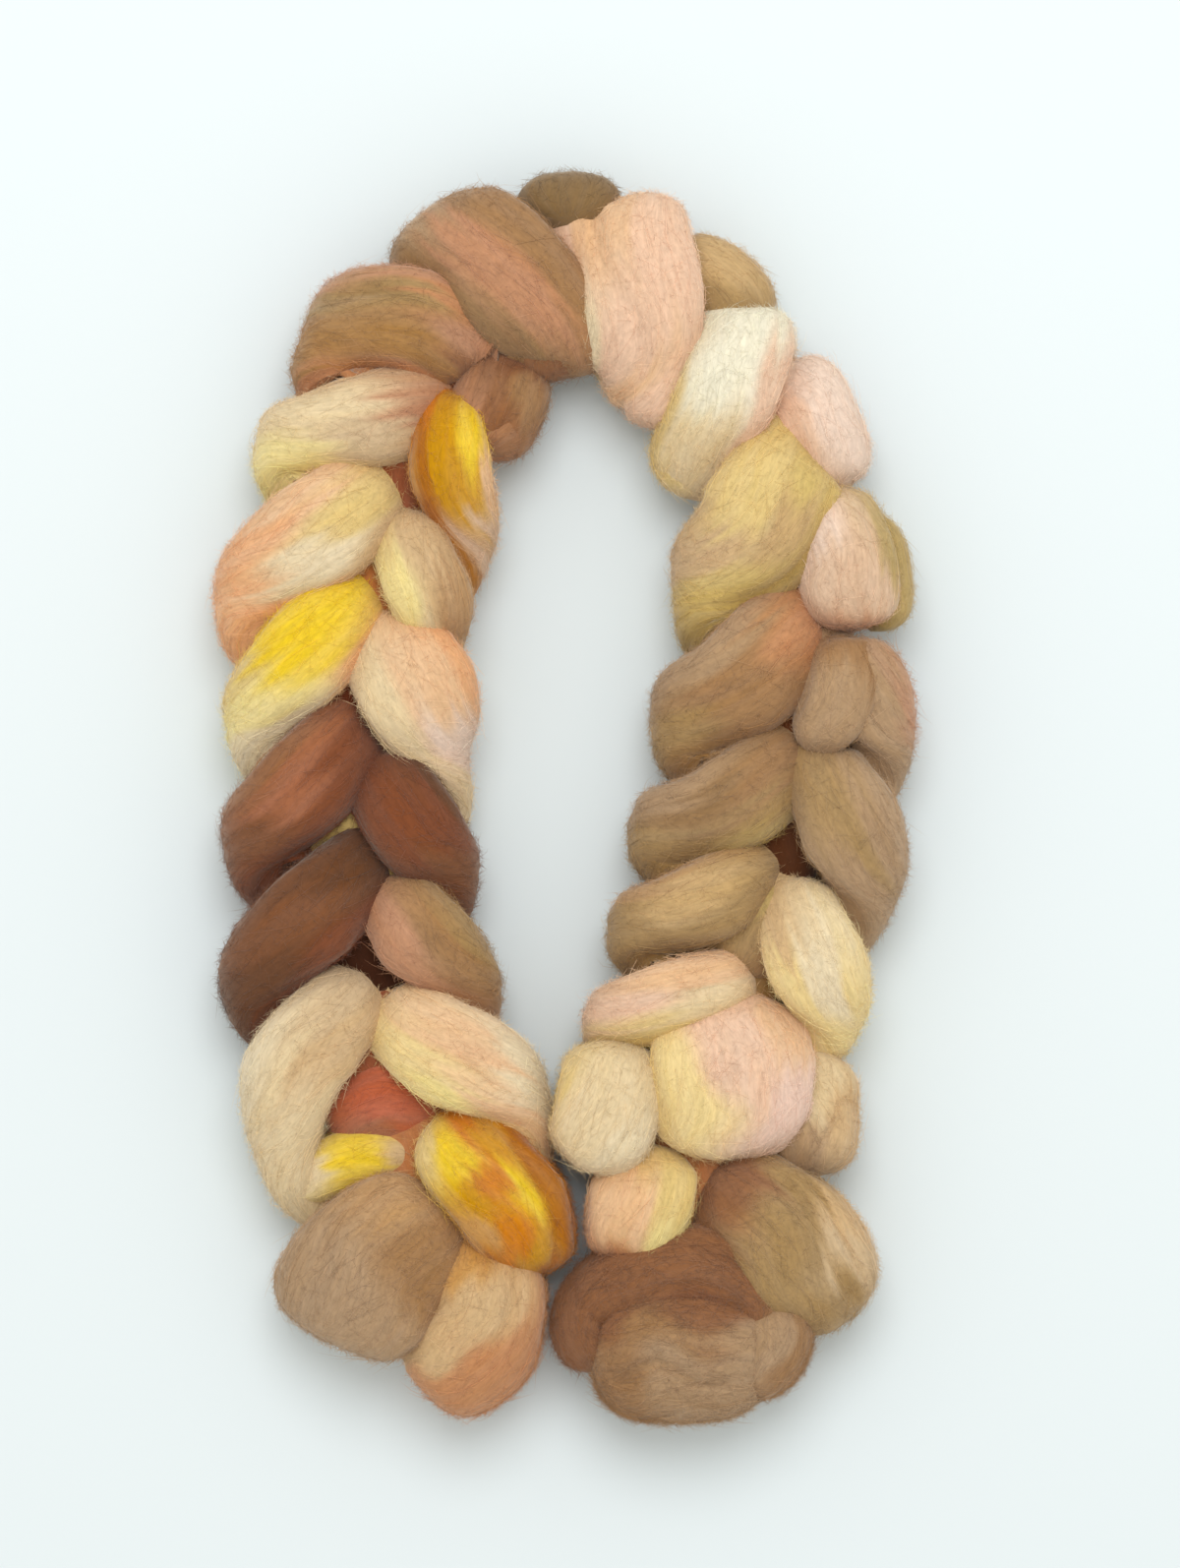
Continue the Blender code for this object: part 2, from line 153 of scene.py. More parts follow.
dyes = {                       # as seen in daylight, 0 to 255
    "white": (242, 235, 212), "ivory": (236, 218, 184), "cream": (232, 209, 168), "fleece": (212, 184, 146),
    "butter": (242, 216, 154), "lemon": (244, 224, 156), "straw": (228, 200, 134), "yellow": (240, 204, 40),
    "gold": (206, 149, 28), "mustard": (216, 188, 118), "olive": (190, 162, 102), "khaki": (172, 140, 94),
    "drab": (136, 108, 72), "tan": (213, 180, 136), "sand": (204, 170, 120), "fawn": (192, 152, 108),
    "brass": (204, 152, 86), "bronze": (172, 128, 76), "peach": (234, 192, 150), "apricot": (236, 180, 132),
    "coral": (200, 142, 98), "pink": (238, 200, 172), "shell": (224, 190, 160), "blush": (240, 214, 196),
    "rose": (196, 144, 110), "lilac": (238, 204, 186), "orange": (212, 130, 28), "amber": (180, 110, 24),
    "brick": (192, 102, 70), "brown": (166, 126, 86), "hazel": (156, 122, 84), "taupe": (182, 150, 116),
    "mocha": (150, 102, 68), "redBrown": (168, 107, 76), "cocoa": (130, 83, 53), "chestnut": (130, 74, 46),
    "chocolate": (106, 66, 39), "umber": (84, 50, 32),
}

# Where each dye took on a fold: across it, -1 left to 1 right seen along its way, and along it, -1 to 1,
# or on a wrapping fold -1 at its head and 0 at its foot.
dyeing = {
    "a1": [("taupe", 0.2, 0.2), ("fawn", 0.3, -0.6), ("brown", -0.6, -0.4), ("taupe", -0.6, 0.8),
           ("taupe", 0.8, 0.4)],
    "a2": [("cream", 0.1, -0.4), ("tan", -0.2, -0.65), ("fleece", 0.2, -0.95), ("cream", -0.8, -0.1),
           ("ivory", 0.8, -0.2)],
    "a3": [("cocoa", 0.1, -0.5), ("chocolate", 0.2, -0.9), ("chocolate", -0.4, -0.2),
           ("chestnut", -0.8, -0.5)],
    "a4": [("redBrown", 0.2, -0.5), ("chestnut", -0.2, -0.85), ("cocoa", -0.1, -0.15), ("mocha", 0.8, -0.4),
           ("chestnut", -0.7, -0.5)],
    "a5": [("yellow", 0.1, -0.6), ("lemon", -0.3, -0.3), ("straw", 0.6, -0.2), ("ivory", -0.7, -0.15),
           ("apricot", -0.7, -0.85), ("yellow", 0.6, -0.6), ("lemon", 0.1, -0.2)],
    "a6": [("apricot", 0.5, -0.3), ("straw", 0.1, -0.78), ("ivory", -0.25, -0.5), ("tan", -0.7, -0.85),
           ("apricot", -0.7, -0.1), ("peach", 0.7, -0.6), ("apricot", 0.1, -0.05)],
    # painted light on a7: the lemon at its left end lightens a side turned down, away from the lamp; the
    # rose at its head is partly its own dye and partly painted shade of the crease by b8
    "a7": [("cream", 0.1, -0.5), ("lemon", -0.7, -0.1), ("rose", 0.0, -0.97), ("fleece", -0.4, -0.6)],
    "a8": [("bronze", -0.2, -0.3), ("coral", 0.4, -0.5), ("rose", 0.7, -0.75), ("rose", 0.15, -0.65),
           ("khaki", 0.35, -0.2), ("bronze", -0.6, -0.5), ("chocolate", -0.1, -0.99), ("mocha", -0.3, -0.8),
           ("rose", 0.8, -0.3), ("coral", -0.85, -0.4)],
    "a9": [("rose", 0.1, 0.1), ("rose", 0.2, -0.2), ("brown", 0.5, 0.35), ("hazel", -0.6, 0.4),
           ("brown", 0.5, -0.3), ("hazel", -0.3, -0.5), ("taupe", -0.1, 0.7), ("hazel", -0.75, 0.0),
           ("brown", 0.75, 0.0), ("hazel", 0.4, -0.75)],
    # painted light on a10: the ivory lightens the edge that a9 presses on and shades
    "a10": [("peach", 0.2, -0.5), ("ivory", 0.6, 0.1), ("pink", 0.7, -0.4), ("pink", -0.5, -0.1),
            ("peach", -0.3, 0.4), ("pink", 0.1, 0.1), ("peach", 0.1, -0.85), ("pink", -0.6, 0.5),
            ("cream", 0.6, 0.6)],
    "a11": [("white", 0.1, -0.1), ("cream", 0.2, 0.55), ("straw", 0.8, 0.6), ("pink", -0.8, 0.1),
            ("white", -0.1, -0.6)],
    "a12": [("mustard", -0.2, -0.15), ("sand", -0.1, -0.5), ("mustard", -0.1, -0.85), ("tan", 0.5, -0.15),
            ("straw", 0.5, -0.6), ("olive", -0.6, -0.3)],
    "a13": [("coral", 0.1, -0.95), ("brown", 0.1, -0.5), ("khaki", -0.2, -0.15), ("brown", -0.5, -0.6),
            ("taupe", 0.6, -0.4)],
    "a14": [("hazel", 0.2, -0.5), ("khaki", -0.6, -0.2), ("khaki", -0.4, -0.75), ("taupe", 0.6, -0.3),
            ("khaki", -0.3, -0.05), ("brown", 0.1, -0.8), ("olive", -0.85, -0.6)],
    "a15": [("sand", 0.1, -0.5), ("khaki", -0.2, -0.85), ("khaki", 0.0, -0.1), ("khaki", -0.7, -0.3),
            ("fawn", 0.6, -0.2)],
    "a16": [("pink", 0.2, -0.3), ("peach", 0.5, -0.7), ("cream", 0.0, -0.75), ("straw", -0.6, -0.5)],
    "a17": [("cream", 0.0, 0.0), ("straw", 0.9, 0.0), ("ivory", -0.6, 0.1), ("cream", 0.45, 0.0)],
    "a18": [("peach", 0.1, 0.1), ("straw", -0.6, -0.2), ("coral", 0.1, 0.8), ("lemon", -0.9, 0.3)],
    "a19": [("mocha", 0.3, -0.2), ("mocha", -0.3, -0.5), ("mocha", 0.0, 0.3), ("mocha", -0.6, 0.5),
            ("brown", -0.6, 0.85), ("cocoa", 0.8, 0.1), ("chocolate", 0.3, -0.75)],
    "a20": [("taupe", 0.6, 0.0), ("taupe", 0.3, 0.5), ("taupe", 0.1, -0.1), ("brown", 0.5, -0.6),
            ("mocha", -0.7, 0.0), ("mocha", -0.6, -0.5), ("brown", -0.25, -0.2), ("mocha", -0.7, 0.4),
            ("brown", 0.0, -0.6), ("taupe", -0.1, 0.7)],
    "a21": [("taupe", 0.2, 0.0), ("brown", -0.6, 0.0)],
    "b1": [("tan", -0.1, -0.2), ("coral", -0.75, 0.1), ("tan", 0.1, 0.5), ("coral", -0.6, 0.65),
           ("brass", 0.3, -0.6)],
    "b2": [("gold", -0.27, -0.6), ("yellow", -0.27, 0.05), ("gold", -0.2, 0.6), ("orange", 0.05, -0.65),
           ("orange", 0.05, -0.15), ("orange", 0.12, 0.35), ("amber", -0.75, -0.1), ("amber", -0.75, 0.4),
           ("amber", -0.65, 0.9), ("yellow", 0.38, -0.6), ("yellow", 0.35, -0.35), ("straw", 0.75, -0.65),
           ("gold", 0.4, -0.1), ("brass", 0.65, 0.2), ("cocoa", 0.6, 0.75)],
    # painted light on b3: the ivory lightens its lower end, where the fold turns down to the table into
    # shade
    "b3": [("butter", 0.4, -0.75), ("lemon", 0.6, -0.5), ("peach", -0.2, -0.5), ("ivory", 0.0, -0.05),
           ("peach", 0.45, -0.25), ("ivory", -0.5, -0.2)],
    "b4": [("rose", 0.5, -0.7), ("brown", 0.0, -0.4), ("khaki", -0.5, -0.3)],
    "b5": [("chestnut", 0.3, -0.6), ("chestnut", -0.4, -0.5), ("cocoa", 0.3, -0.2),
           ("chocolate", -0.8, -0.7)],
    "b6": [("cream", 0.5, -0.5), ("peach", -0.2, -0.5), ("blush", -0.1, -0.15), ("apricot", -0.7, -0.6)],
    "b7": [("lemon", 0.3, -0.5), ("fawn", -0.5, -0.4), ("cream", 0.1, -0.15), ("tan", -0.2, -0.8)],
    "b8": [("brass", 0.75, -0.55), ("amber", 0.45, -0.6), ("amber", 0.6, -0.35), ("gold", 0.05, -0.6),
           ("gold", -0.1, -0.82), ("gold", -0.3, -0.4), ("yellow", -0.55, -0.7), ("gold", -0.3, -0.58),
           ("shell", -0.4, -0.15), ("shell", 0.4, -0.1), ("peach", -0.9, -0.45), ("orange", 0.3, -0.95)],
    "b9": [("mocha", 0.0, 0.0), ("rose", 0.4, 0.3), ("brown", -0.4, -0.3), ("cocoa", 0.0, -0.85)],
    "b10": [("drab", 0.0, -0.7), ("drab", 0.0, 0.0), ("mocha", -0.1, 0.8)],
    "b12": [("khaki", 0.1, -0.8), ("sand", -0.3, -0.1), ("khaki", 0.6, 0.0), ("khaki", 0.0, 0.7)],
    "b13": [("blush", -0.2, 0.0), ("pink", 0.7, 0.0)],
    "b14": [("shell", 0.1, 0.0), ("blush", 0.5, -0.4), ("rose", -0.2, 0.95), ("shell", -0.5, 0.3),
            ("olive", -0.95, -0.1)],
    "b14rim": [("olive", -0.1, -0.2), ("olive", -0.6, 0.2)],
    "b15top": [("taupe", 0.1, 0.2), ("brown", -0.3, -0.6)],
    "b15": [("taupe", -0.2, -0.5), ("taupe", 0.4, -0.2), ("rose", -0.6, -0.2)],
    "b16": [("khaki", 0.1, -0.5), ("taupe", -0.5, -0.4), ("taupe", 0.4, -0.2)],
    "b17": [("butter", 0.5, -0.5), ("ivory", -0.1, -0.5), ("tan", 0.4, -0.8), ("butter", -0.4, -0.2),
            ("butter", 0.3, -0.1)],
    "b18": [("butter", 0.8, 0.0), ("pink", 0.0, 0.0), ("lilac", -0.5, 0.2), ("peach", -0.5, -0.5),
            ("butter", 0.5, 0.2), ("pink", -0.1, -0.5)],
    "b18side": [("cream", 0.0, -0.4), ("taupe", 0.1, 0.5), ("tan", -0.5, 0.1)],
    "b19": [("mocha", -0.1, -0.75), ("khaki", -0.2, 0.0), ("khaki", -0.4, 0.6), ("khaki", 0.4, 0.4),
            ("khaki", -0.7, -0.2), ("fleece", -0.8, 0.4), ("fleece", -0.6, 0.25), ("tan", -0.9, 0.1)],
    "g1": [("brick", 0.0, 0.0), ("redBrown", 0.6, -0.2)],
    "g2": [("yellow", 0.0, 0.05), ("yellow", 0.1, 0.2), ("cream", 0.0, -0.45), ("tan", 0.0, 0.75)],
    "c1": [("rose", 0.1, 0.1), ("hazel", 0.6, -0.3), ("brown", -0.6, 0.3)],
    "c2": [("pink", 0.1, 0.0), ("peach", -0.6, 0.3), ("ivory", 0.7, 0.0)],
    "c3": [("mustard", 0.1, 0.0), ("olive", -0.7, 0.2), ("sand", 0.7, 0.2)],
    "c4": [("cream", 0.1, 0.1), ("apricot", -0.6, 0.2), ("straw", 0.6, -0.3)],
    "g4": [("khaki", 0.1, 0.2), ("olive", 0.0, -0.4), ("hazel", -0.5, 0.3)],
}

dyeSlant = {"b2": 0.52}        # how far the dyes' bands lean across a fold on their way along it

# Hollows where a fold's wool parts into bundles: across at the start and at the end of the hollow,
# where it starts and ends along the fold, depth mm, width.
partings = {
    "a1": [(0.55, 0.6, -0.8, 0.3, 1.8, 0.09), (-0.1, 0.1, -0.9, 0.1, 1.4, 0.09),
           (-0.6, -0.3, -0.6, 0.6, 1.2, 0.09)],
    "a2": [(-0.3, -0.1, -0.9, -0.3, 1.0, 0.1)],
    "a8": [(0.1, 0.0, -0.9, -0.3, 1.2, 0.09)],
    "a9": [(-0.15, -0.2, -0.5, 0.3, 1.2, 0.09)],
    "a10": [(0.45, -0.4, -0.85, 0.85, 2.4, 0.1)],
    "a12": [(-0.45, -0.6, -0.95, -0.2, 1.4, 0.1)],
    "a13": [(0.45, 0.3, -0.8, -0.3, 1.2, 0.09)],
    "a16": [(0.25, 0.1, -0.95, -0.3, 2.0, 0.1)],
    "a19": [(0.35, 0.2, -0.6, 0.7, 1.6, 0.14), (-0.3, -0.5, -0.2, 0.9, 1.8, 0.14)],
    "a20": [(0.15, 0.4, -0.7, 0.6, 1.8, 0.1), (-0.4, -0.2, -0.5, 0.7, 1.4, 0.12)],
    "b1": [(-0.5, -0.3, -0.6, 0.5, 1.2, 0.1)],
    "b2": [(-0.75, -0.1, -0.5, 0.9, 2.2, 0.1), (-0.05, 0.4, -0.8, 0.4, 1.2, 0.09)],
    "b3": [(0.15, 0.1, -0.8, -0.3, 1.4, 0.1)],
    "b5": [(-0.1, -0.1, -0.9, -0.3, 1.2, 0.09)],
    "b8": [(0.15, 0.1, -0.9, -0.3, 1.2, 0.1)],
    "b9": [(-0.35, -0.2, -0.8, 0.8, 1.6, 0.13), (0.3, 0.35, -0.7, 0.8, 1.6, 0.13)],
    "b15": [(0.0, 0.0, -0.9, -0.1, 1.6, 0.1)],
    "b16": [(-0.35, -0.3, -0.8, -0.1, 1.6, 0.1)],
    "b19": [(-0.45, -0.5, -0.6, 0.8, 2.0, 0.09), (-0.72, -0.72, -0.4, 0.8, 1.8, 0.08),
            (0.2, 0.1, -0.8, 0.5, 1.2, 0.09)],
}

relief = {
    "alongStep": 3.2, "aroundStep": 1.4, "underStep": 2.0,    # grid spacing, mm, and how much coarser below
    "endRings": 14,          # extra rings for the rounded ends
    "crowd": 0.7,            # how far the rings crowd towards the ends
    "puff": 0.9, "puffCells": (5, 4),             # slow swellings, mm; how many round and along a fold
    "bundle": 0.14, "bundleCells": (13, 5),       # hollows between bundles of fibre, the same
    "bundleWidth": 0.22,                          # share of the noise that is hollow, to either side
    "wander": 0.14, "wanderCells": (1, 5),        # how far the bundles turn round the strand, radians
    "waver": 0.05, "waverCells": (6, 7),
    "fine": 0.07, "fineSides": 2.2, "fineAlong": 6,         # ridges as fine as the grid can hold, mm
    "wrapStretch": 1.5,      # on a wrapping strand, -1 is its head, two thirds of the way to its end
    "partingFade": 0.25,     # share of a fold over which a parting's ends fade
    "fibreApart": (37.0, 11.0, 91.0),   # one strand's fibre coordinates from the next one's, mm
    "press": 3.8,            # how far two folds round away from each other where they touch, mm
    "pressReach": 4.8,       # gap at which that has fallen to a third, mm
    "pressNear": 8,          # strands further off than this aren't looked at, mm
    "pressEase": 0.6,        # how much less at a strand's ends
    "pressEven": 3,          # rounds of evening out
    "sameWay": 0.97,         # faces that point alike, by the cosine between them, don't press
    "facingFade": 0.5,       # and those whose cosine is lower by this press in full
    "leastHalf": 2.0,        # smallest half width a strand counts with, mm
    "unpressed": ("a19", "a20", "a21", "b9", "b10", "b12", "g1", "g2", "g4"),   # tucked ends and glimpses
    "creaseShade": 0.16,            # painted shade: how much darker and deeper the dye is made down in a crease, where folds press together
    "coreShade": 1.2,        # painted shade: the same, for the wool hidden inside, seen down between the folds
}
seeds = {"fold": 7, "below": 50, "core": 9000, "fly": 5000}      # of the random numbers


def unit(vectors):
    # Each vector divided by its own length.
    return vectors / np.maximum(np.linalg.norm(vectors, axis=-1, keepdims=True), 1e-12)


def smoothStep(x):
    # 0 to 1 with level ends: 3x^2 - 2x^3
    x = np.clip(x, 0, 1)
    return x * x * (3 - 2 * x)


def curveThrough(points, count):
    # Cubic through every point; its slope at each is half the chord of the neighbours.
    padded = np.vstack([2 * points[0] - points[1], points, 2 * points[-1] - points[-2]])
    at = np.linspace(0, len(points) - 1, count)
    span = np.minimum(at.astype(int), len(points) - 2)
    f = (at - span)[:, None]
    a, b, c, d = (padded[span + k] for k in range(4))
    return 0.5 * (2 * b + (c - a) * f + (2 * a - 5 * b + 4 * c - d) * f**2 + (3 * b - a - 3 * c + d) * f**3)


spinePoints = [(x, y, braid["tableMid"]) for x, y in braid["spine"]]
spine = curveThrough(np.array(spinePoints, float), braid["stations"])
heading = unit(np.gradient(spine, axis=0))


def nearestOn(points):
    # Number of the spine station at the least distance in plan from each point.
    apart = points[:, None, :2] - spine[None, :, :2]
    return (apart**2).sum(axis=2).argmin(axis=1)


def foldPoints(fold):
    # Below, a wrapping strand mirrors its upper half across its foot; one over the arch turns down at
    # both ends.
    points = [np.array(point, float) for point in fold["way"]]
    mid = braid["tableMid"]
    if fold["under"] == "wrap":
        tip, crown, foot = points
        head = tip + (crown - tip) * braid["headBack"]
        root = tip + (tip - crown) * braid["rootOut"]
        head[2] = braid["headHeights"].get(fold["name"], braid["headHeight"])
        root[2] = braid["rootHeight"]
        points = [root, head, crown, foot]
        along = heading[nearestOn(foot[None])[0]]
        ends = (crown, head) if fold["name"] in braid["rootless"] else (crown, head, root)
        for above in ends:
            below = above - 2 * np.dot(above - foot, along) * along
            below[2] = min(2 * mid - above[2], braid["rootHeightBelow"])
            points.append(below)
    if fold["under"] == "over":
        tip, crown, foot = points
        turned = [end + (crown - end) * braid["overReturn"] for end in (tip, foot)]
        for point in turned:
            point[2] = 2 * mid - crown[2]
        points = [turned[0], tip, crown, foot, turned[1]]
    return np.array(points)


def strandFrames(path, tilt, lean):
    # Outward is away from the braid's flat oval middle, square to the way; across is square to both.
    tangent = unit(np.gradient(path, axis=0))
    near = nearestOn(path)
    away = path - spine[near]
    away -= (away * heading[near]).sum(axis=1)[:, None] * heading[near]
    away[:, 2] += lean
    away /= np.array([braid["edgeReach"]**2, braid["edgeReach"]**2, braid["crownReach"]**2])
    away[:, 2] += 1e-4      # so that a way on the spine itself still has an outward side
    outward = unit(away - (away * tangent).sum(axis=1)[:, None] * tangent)
    across = np.cross(tangent, outward)
    turn = math.radians(tilt)
    return (across * math.cos(turn) + outward * math.sin(turn),
            outward * math.cos(turn) - across * math.sin(turn))


def ringNoise(angle, along, cellsRound, cellsAlong, seed):
    # Smooth noise of about -1 to 1 on a lattice that closes on itself round the strand.
    table = np.random.default_rng(seed).uniform(-1, 1, (cellsAlong + 2, cellsRound))
    u = (angle / (2 * np.pi) % 1) * cellsRound
    v = np.clip(along, 0, 1) * cellsAlong
    i, j = np.floor(v).astype(int), np.floor(u).astype(int)
    fv, fu = smoothStep(v - i), smoothStep(u - j)
    j0, j1 = j % cellsRound, (j + 1) % cellsRound
    low = table[i, j0] * (1 - fu) + table[i, j1] * fu
    high = table[i + 1, j0] * (1 - fu) + table[i + 1, j1] * fu
    return low * (1 - fv) + high * fv


def gridNormals(grid):
    # Cross product of the two grid directions, the second closing on itself.
    down = np.gradient(grid, axis=0)
    around = np.roll(grid, -1, axis=1) - np.roll(grid, 1, axis=1)
    return unit(np.cross(around, down))


def settle(points):
    # Lowered on to the table; what would sink below it is squeezed thin: h * exp(z / h - 1).
    z = points[..., 2] + braid["midHeight"] - braid["tableMid"]
    h = braid["flatten"]
    points[..., 2] = np.where(z < h, h * np.exp(np.minimum(z / h - 1, 0)), z)
    return points


def woolRelief(angle, along, tau, kind, name, seed):
    # Height over the smooth strand: slow swellings, less exp(-(noise / width)^2) between bundles of
    # fibre, plus fine ridges, less depth * exp(-(distance / width)^2) in each of the fold's partings.
    bundles = ringNoise(angle, along, *relief["bundleCells"], seed + 2)
    raised = relief["puff"] * ringNoise(angle, along, *relief["puffCells"], seed + 3)
    raised -= relief["bundle"] * np.exp(-((bundles / relief["bundleWidth"]) ** 2))
    ridges = int(angle.shape[1] / relief["fineSides"])
    raised += relief["fine"] * ringNoise(angle, along, ridges, relief["fineAlong"], seed + 4)
    going = tau * (relief["wrapStretch"] if kind == "wrap" else 1.0)
    place = np.cos(angle)
    for start, end, first, last, depth, wide in partings.get(name, []):
        reach = smoothStep((going - first) / relief["partingFade"])
        reach *= smoothStep((last - going) / relief["partingFade"])
        where = start + (end - start) * np.clip((going - first) / (last - first), 0, 1)[:, None]
        raised -= depth * np.exp(-(((place - where) / wide) ** 2)) * reach[:, None] * (np.sin(angle) > 0)
    return raised


def strandGrid(path, across, outward, width, thick, kind, name, seed, coarse):
    # Rings of superellipse section along the way, sized by sqrt(1 - |tau|^taper), with tau -1 to 1
    # from end to end, and moved along their normals by the wool's relief.
    length = np.linalg.norm(np.diff(path, axis=0), axis=1).sum()
    rings = int(length / (relief["alongStep"] * coarse)) + relief["endRings"]
    girth = (width + thick) * 1.5      # about the length round the section
    sides = int(girth / (relief["aroundStep"] * coarse))
    t = np.linspace(-1, 1, rings + 2)[1:-1]
    tau = (1 - relief["crowd"]) * t + relief["crowd"] * np.sin(0.5 * np.pi * t)
    at = (tau + 1) / 2 * (len(path) - 1)
    steps = np.arange(len(path))
    centre, side, out = (
        np.stack([np.interp(at, steps, line[:, k]) for k in range(3)], axis=1)
        for line in (path, across, outward)
    )
    theta = np.arange(sides) / sides * 2 * np.pi - np.pi / 2
    c = np.sign(np.cos(theta)) * np.abs(np.cos(theta)) ** braid["squareness"]
    s = np.sign(np.sin(theta)) * np.abs(np.sin(theta)) ** braid["squareness"]
    swell = np.sqrt(1 - np.abs(tau) ** braid["taper"][kind])
    gather = braid["gather"] * np.exp(-((tau / braid["gatherLength"]) ** 2)) * (kind == "wrap")
    halfWide = (width / 2 * swell * (1 - gather))[:, None, None]
    halfThick = (thick / 2 * swell * (1 + gather / 2))[:, None, None]
    grid = centre[:, None] + side[:, None] * c[:, None] * halfWide + out[:, None] * s[:, None] * halfThick
    normals = gridNormals(grid)
    if ((grid - centre[:, None]) * normals).sum() < 0:
        normals = -normals
    along = np.broadcast_to((tau[:, None] + 1) / 2, grid.shape[:2])
    # the bundles turn round the strand, all of them slowly and each of them a little
    angle = theta[None] + relief["wander"] * ringNoise(0 * along, along, *relief["wanderCells"], seed)
    waver = ringNoise(theta[None] + 0 * along, along, *relief["waverCells"], seed + 1)
    angle = angle + relief["waver"] * waver
    raised = woolRelief(angle, along, tau, kind, name, seed)
    grid = grid + normals * (raised * np.sqrt(swell)[:, None])[..., None]
    reach = np.concatenate([[0], np.cumsum(np.linalg.norm(np.diff(centre, axis=0), axis=1))])
    radius = (width + thick) / 4
    fibre = np.stack([radius * np.cos(angle), radius * np.sin(angle), reach[:, None] + 0 * angle], axis=2)
    fibre += np.array(relief["fibreApart"]) * (seed % 97)
    return {"grid": grid, "normals": normals, "tau": tau, "angle": angle, "fibre": fibre,
            "ends": np.array([path[0], path[-1]]), "centre": centre, "side": side, "out": out,
            "wide": halfWide[:, 0, 0], "deep": halfThick[:, 0, 0]}


def makeFold(fold, seed):
    # A fold's strand, swept along the curve through its points, or its mirror image in the braid's
    # middle plane on the underside, or both.
    path = curveThrough(foldPoints(fold), braid["foldStations"])
    kind = "copy" if fold["under"] == "below" else fold["under"]
    lean = braid["leanDepth"] if kind in ("copy", "none") else 0.0
    across, outward = strandFrames(path, fold["tilt"], lean)
    size = (fold["width"], fold["thick"], kind, fold["name"])
    strands = []
    if fold["under"] != "below":
        strands.append(strandGrid(path, across, outward, *size, seed, 1.0))
    if kind == "copy":
        below = strandGrid(path, across, outward, *size, seed + seeds["below"], relief["underStep"])
        for key in ("grid", "ends", "centre"):
            below[key][..., 2] = 2 * braid["tableMid"] - below[key][..., 2]
        for key in ("normals", "side", "out"):
            below[key][..., 2] *= -1
        strands.append(below)
    return strands


def makeCore(first, last, seed):
    # An inner length: a flat strand swept level along the spine, from one station to another.
    path = spine[first:last]
    across = np.cross(heading[first:last], [0.0, 0.0, 1.0])
    outward = np.tile([0.0, 0.0, 1.0], (len(path), 1))
    size = (coreSize["width"], coreSize["thick"], "core", "")
    return [strandGrid(path, across, outward, *size, seed, coreSize["coarse"])]


pieces = {}
for index, row in enumerate(folds):
    fold = dict(zip(foldColumns, row))
    pieces[fold["name"]] = makeFold(fold, seeds["fold"] + 100 * index)
for index, (name, first, last, dye) in enumerate(coreLengths):
    pieces[name] = makeCore(first, last, seeds["core"] + 100 * index)
    dyeing[name] = [(dye, 0.0, 0.0)]
foldNames = [row[0] for row in folds]


def gapTo(points, other):
    # Distance from each point to another strand's surface, mm: (r - 1) times its mean radius, where r is
    # the point's place in that strand's section, 1 on the surface. Also the way out of that strand there.
    centre = other["centre"]
    k = ((centre**2).sum(axis=1) - 2 * points @ centre.T).argmin(axis=1)
    tangent = unit(np.gradient(centre, axis=0))
    step = np.linalg.norm(np.gradient(centre, axis=0), axis=1)
    # from the nearest ring, up to half a ring on or back
    slip = ((points - centre[k]) * tangent[k]).sum(axis=1) / step[k]
    at = np.clip(k + np.clip(slip, -0.5, 0.5), 0, len(centre) - 1)
    low = np.minimum(at.astype(int), len(centre) - 2)
    part = at - low

    def there(values):
        # The strand's value at the point's own place, straight between two rings.
        f = part if values.ndim == 1 else part[:, None]
        return values[low] * (1 - f) + values[low + 1] * f

    away = points - there(centre)
    wide, deep = (np.maximum(there(other[key]), relief["leastHalf"]) for key in ("wide", "deep"))
    side, out, ahead = there(other["side"]), there(other["out"]), there(tangent)
    u = (away * side).sum(axis=1) / wide
    v = (away * out).sum(axis=1) / deep
    w = (away * ahead).sum(axis=1) / wide
    outOf = unit((u / wide)[:, None] * side + (v / deep)[:, None] * out + (w / wide)[:, None] * ahead)
    return (np.sqrt(u**2 + v**2 + w**2) - 1) * np.sqrt(wide * deep), outOf


def evened(values, times):
    # Each value averaged with its four neighbours on the grid, the sides closing on themselves.
    for _ in range(times):
        padded = np.concatenate([values[:1], values, values[-1:]])
        ahead, behind = np.roll(values, 1, axis=1), np.roll(values, -1, axis=1)
        values = (padded[:-2] + padded[2:] + ahead + behind + values) / 5
    return values


def pressed(name, strand):
    # Soft strands round away from each other where they touch: press * exp(-(gap / reach)^2) inwards,
    # for surfaces that face each other, not for one that lies on top of the other.
    points, normals = strand["grid"].reshape(-1, 3), strand["normals"].reshape(-1, 3)
    low, high = points.min(axis=0) - relief["pressNear"], points.max(axis=0) + relief["pressNear"]
    amount = np.zeros(len(points))
    for other in foldNames:
        if other == name:
            continue
        for b in pieces[other]:
            size = b["wide"].max()
            if ((b["centre"].max(axis=0) + size < low) | (b["centre"].min(axis=0) - size > high)).any():
                continue
            gap, outOf = gapTo(points, b)
            alike = (outOf * normals).sum(axis=1)
            facing = smoothStep((relief["sameWay"] - alike) / relief["facingFade"])
            near = np.exp(-((np.maximum(gap, 0) / relief["pressReach"]) ** 2))
            amount = np.maximum(amount, relief["press"] * near * facing)
    middle = 1 - relief["pressEase"] * np.abs(strand["tau"]) ** 3
    amount = evened(amount.reshape(strand["grid"].shape[:2]) * middle[:, None], relief["pressEven"])
    return strand["grid"] - strand["normals"] * amount[..., None], amount / relief["press"]


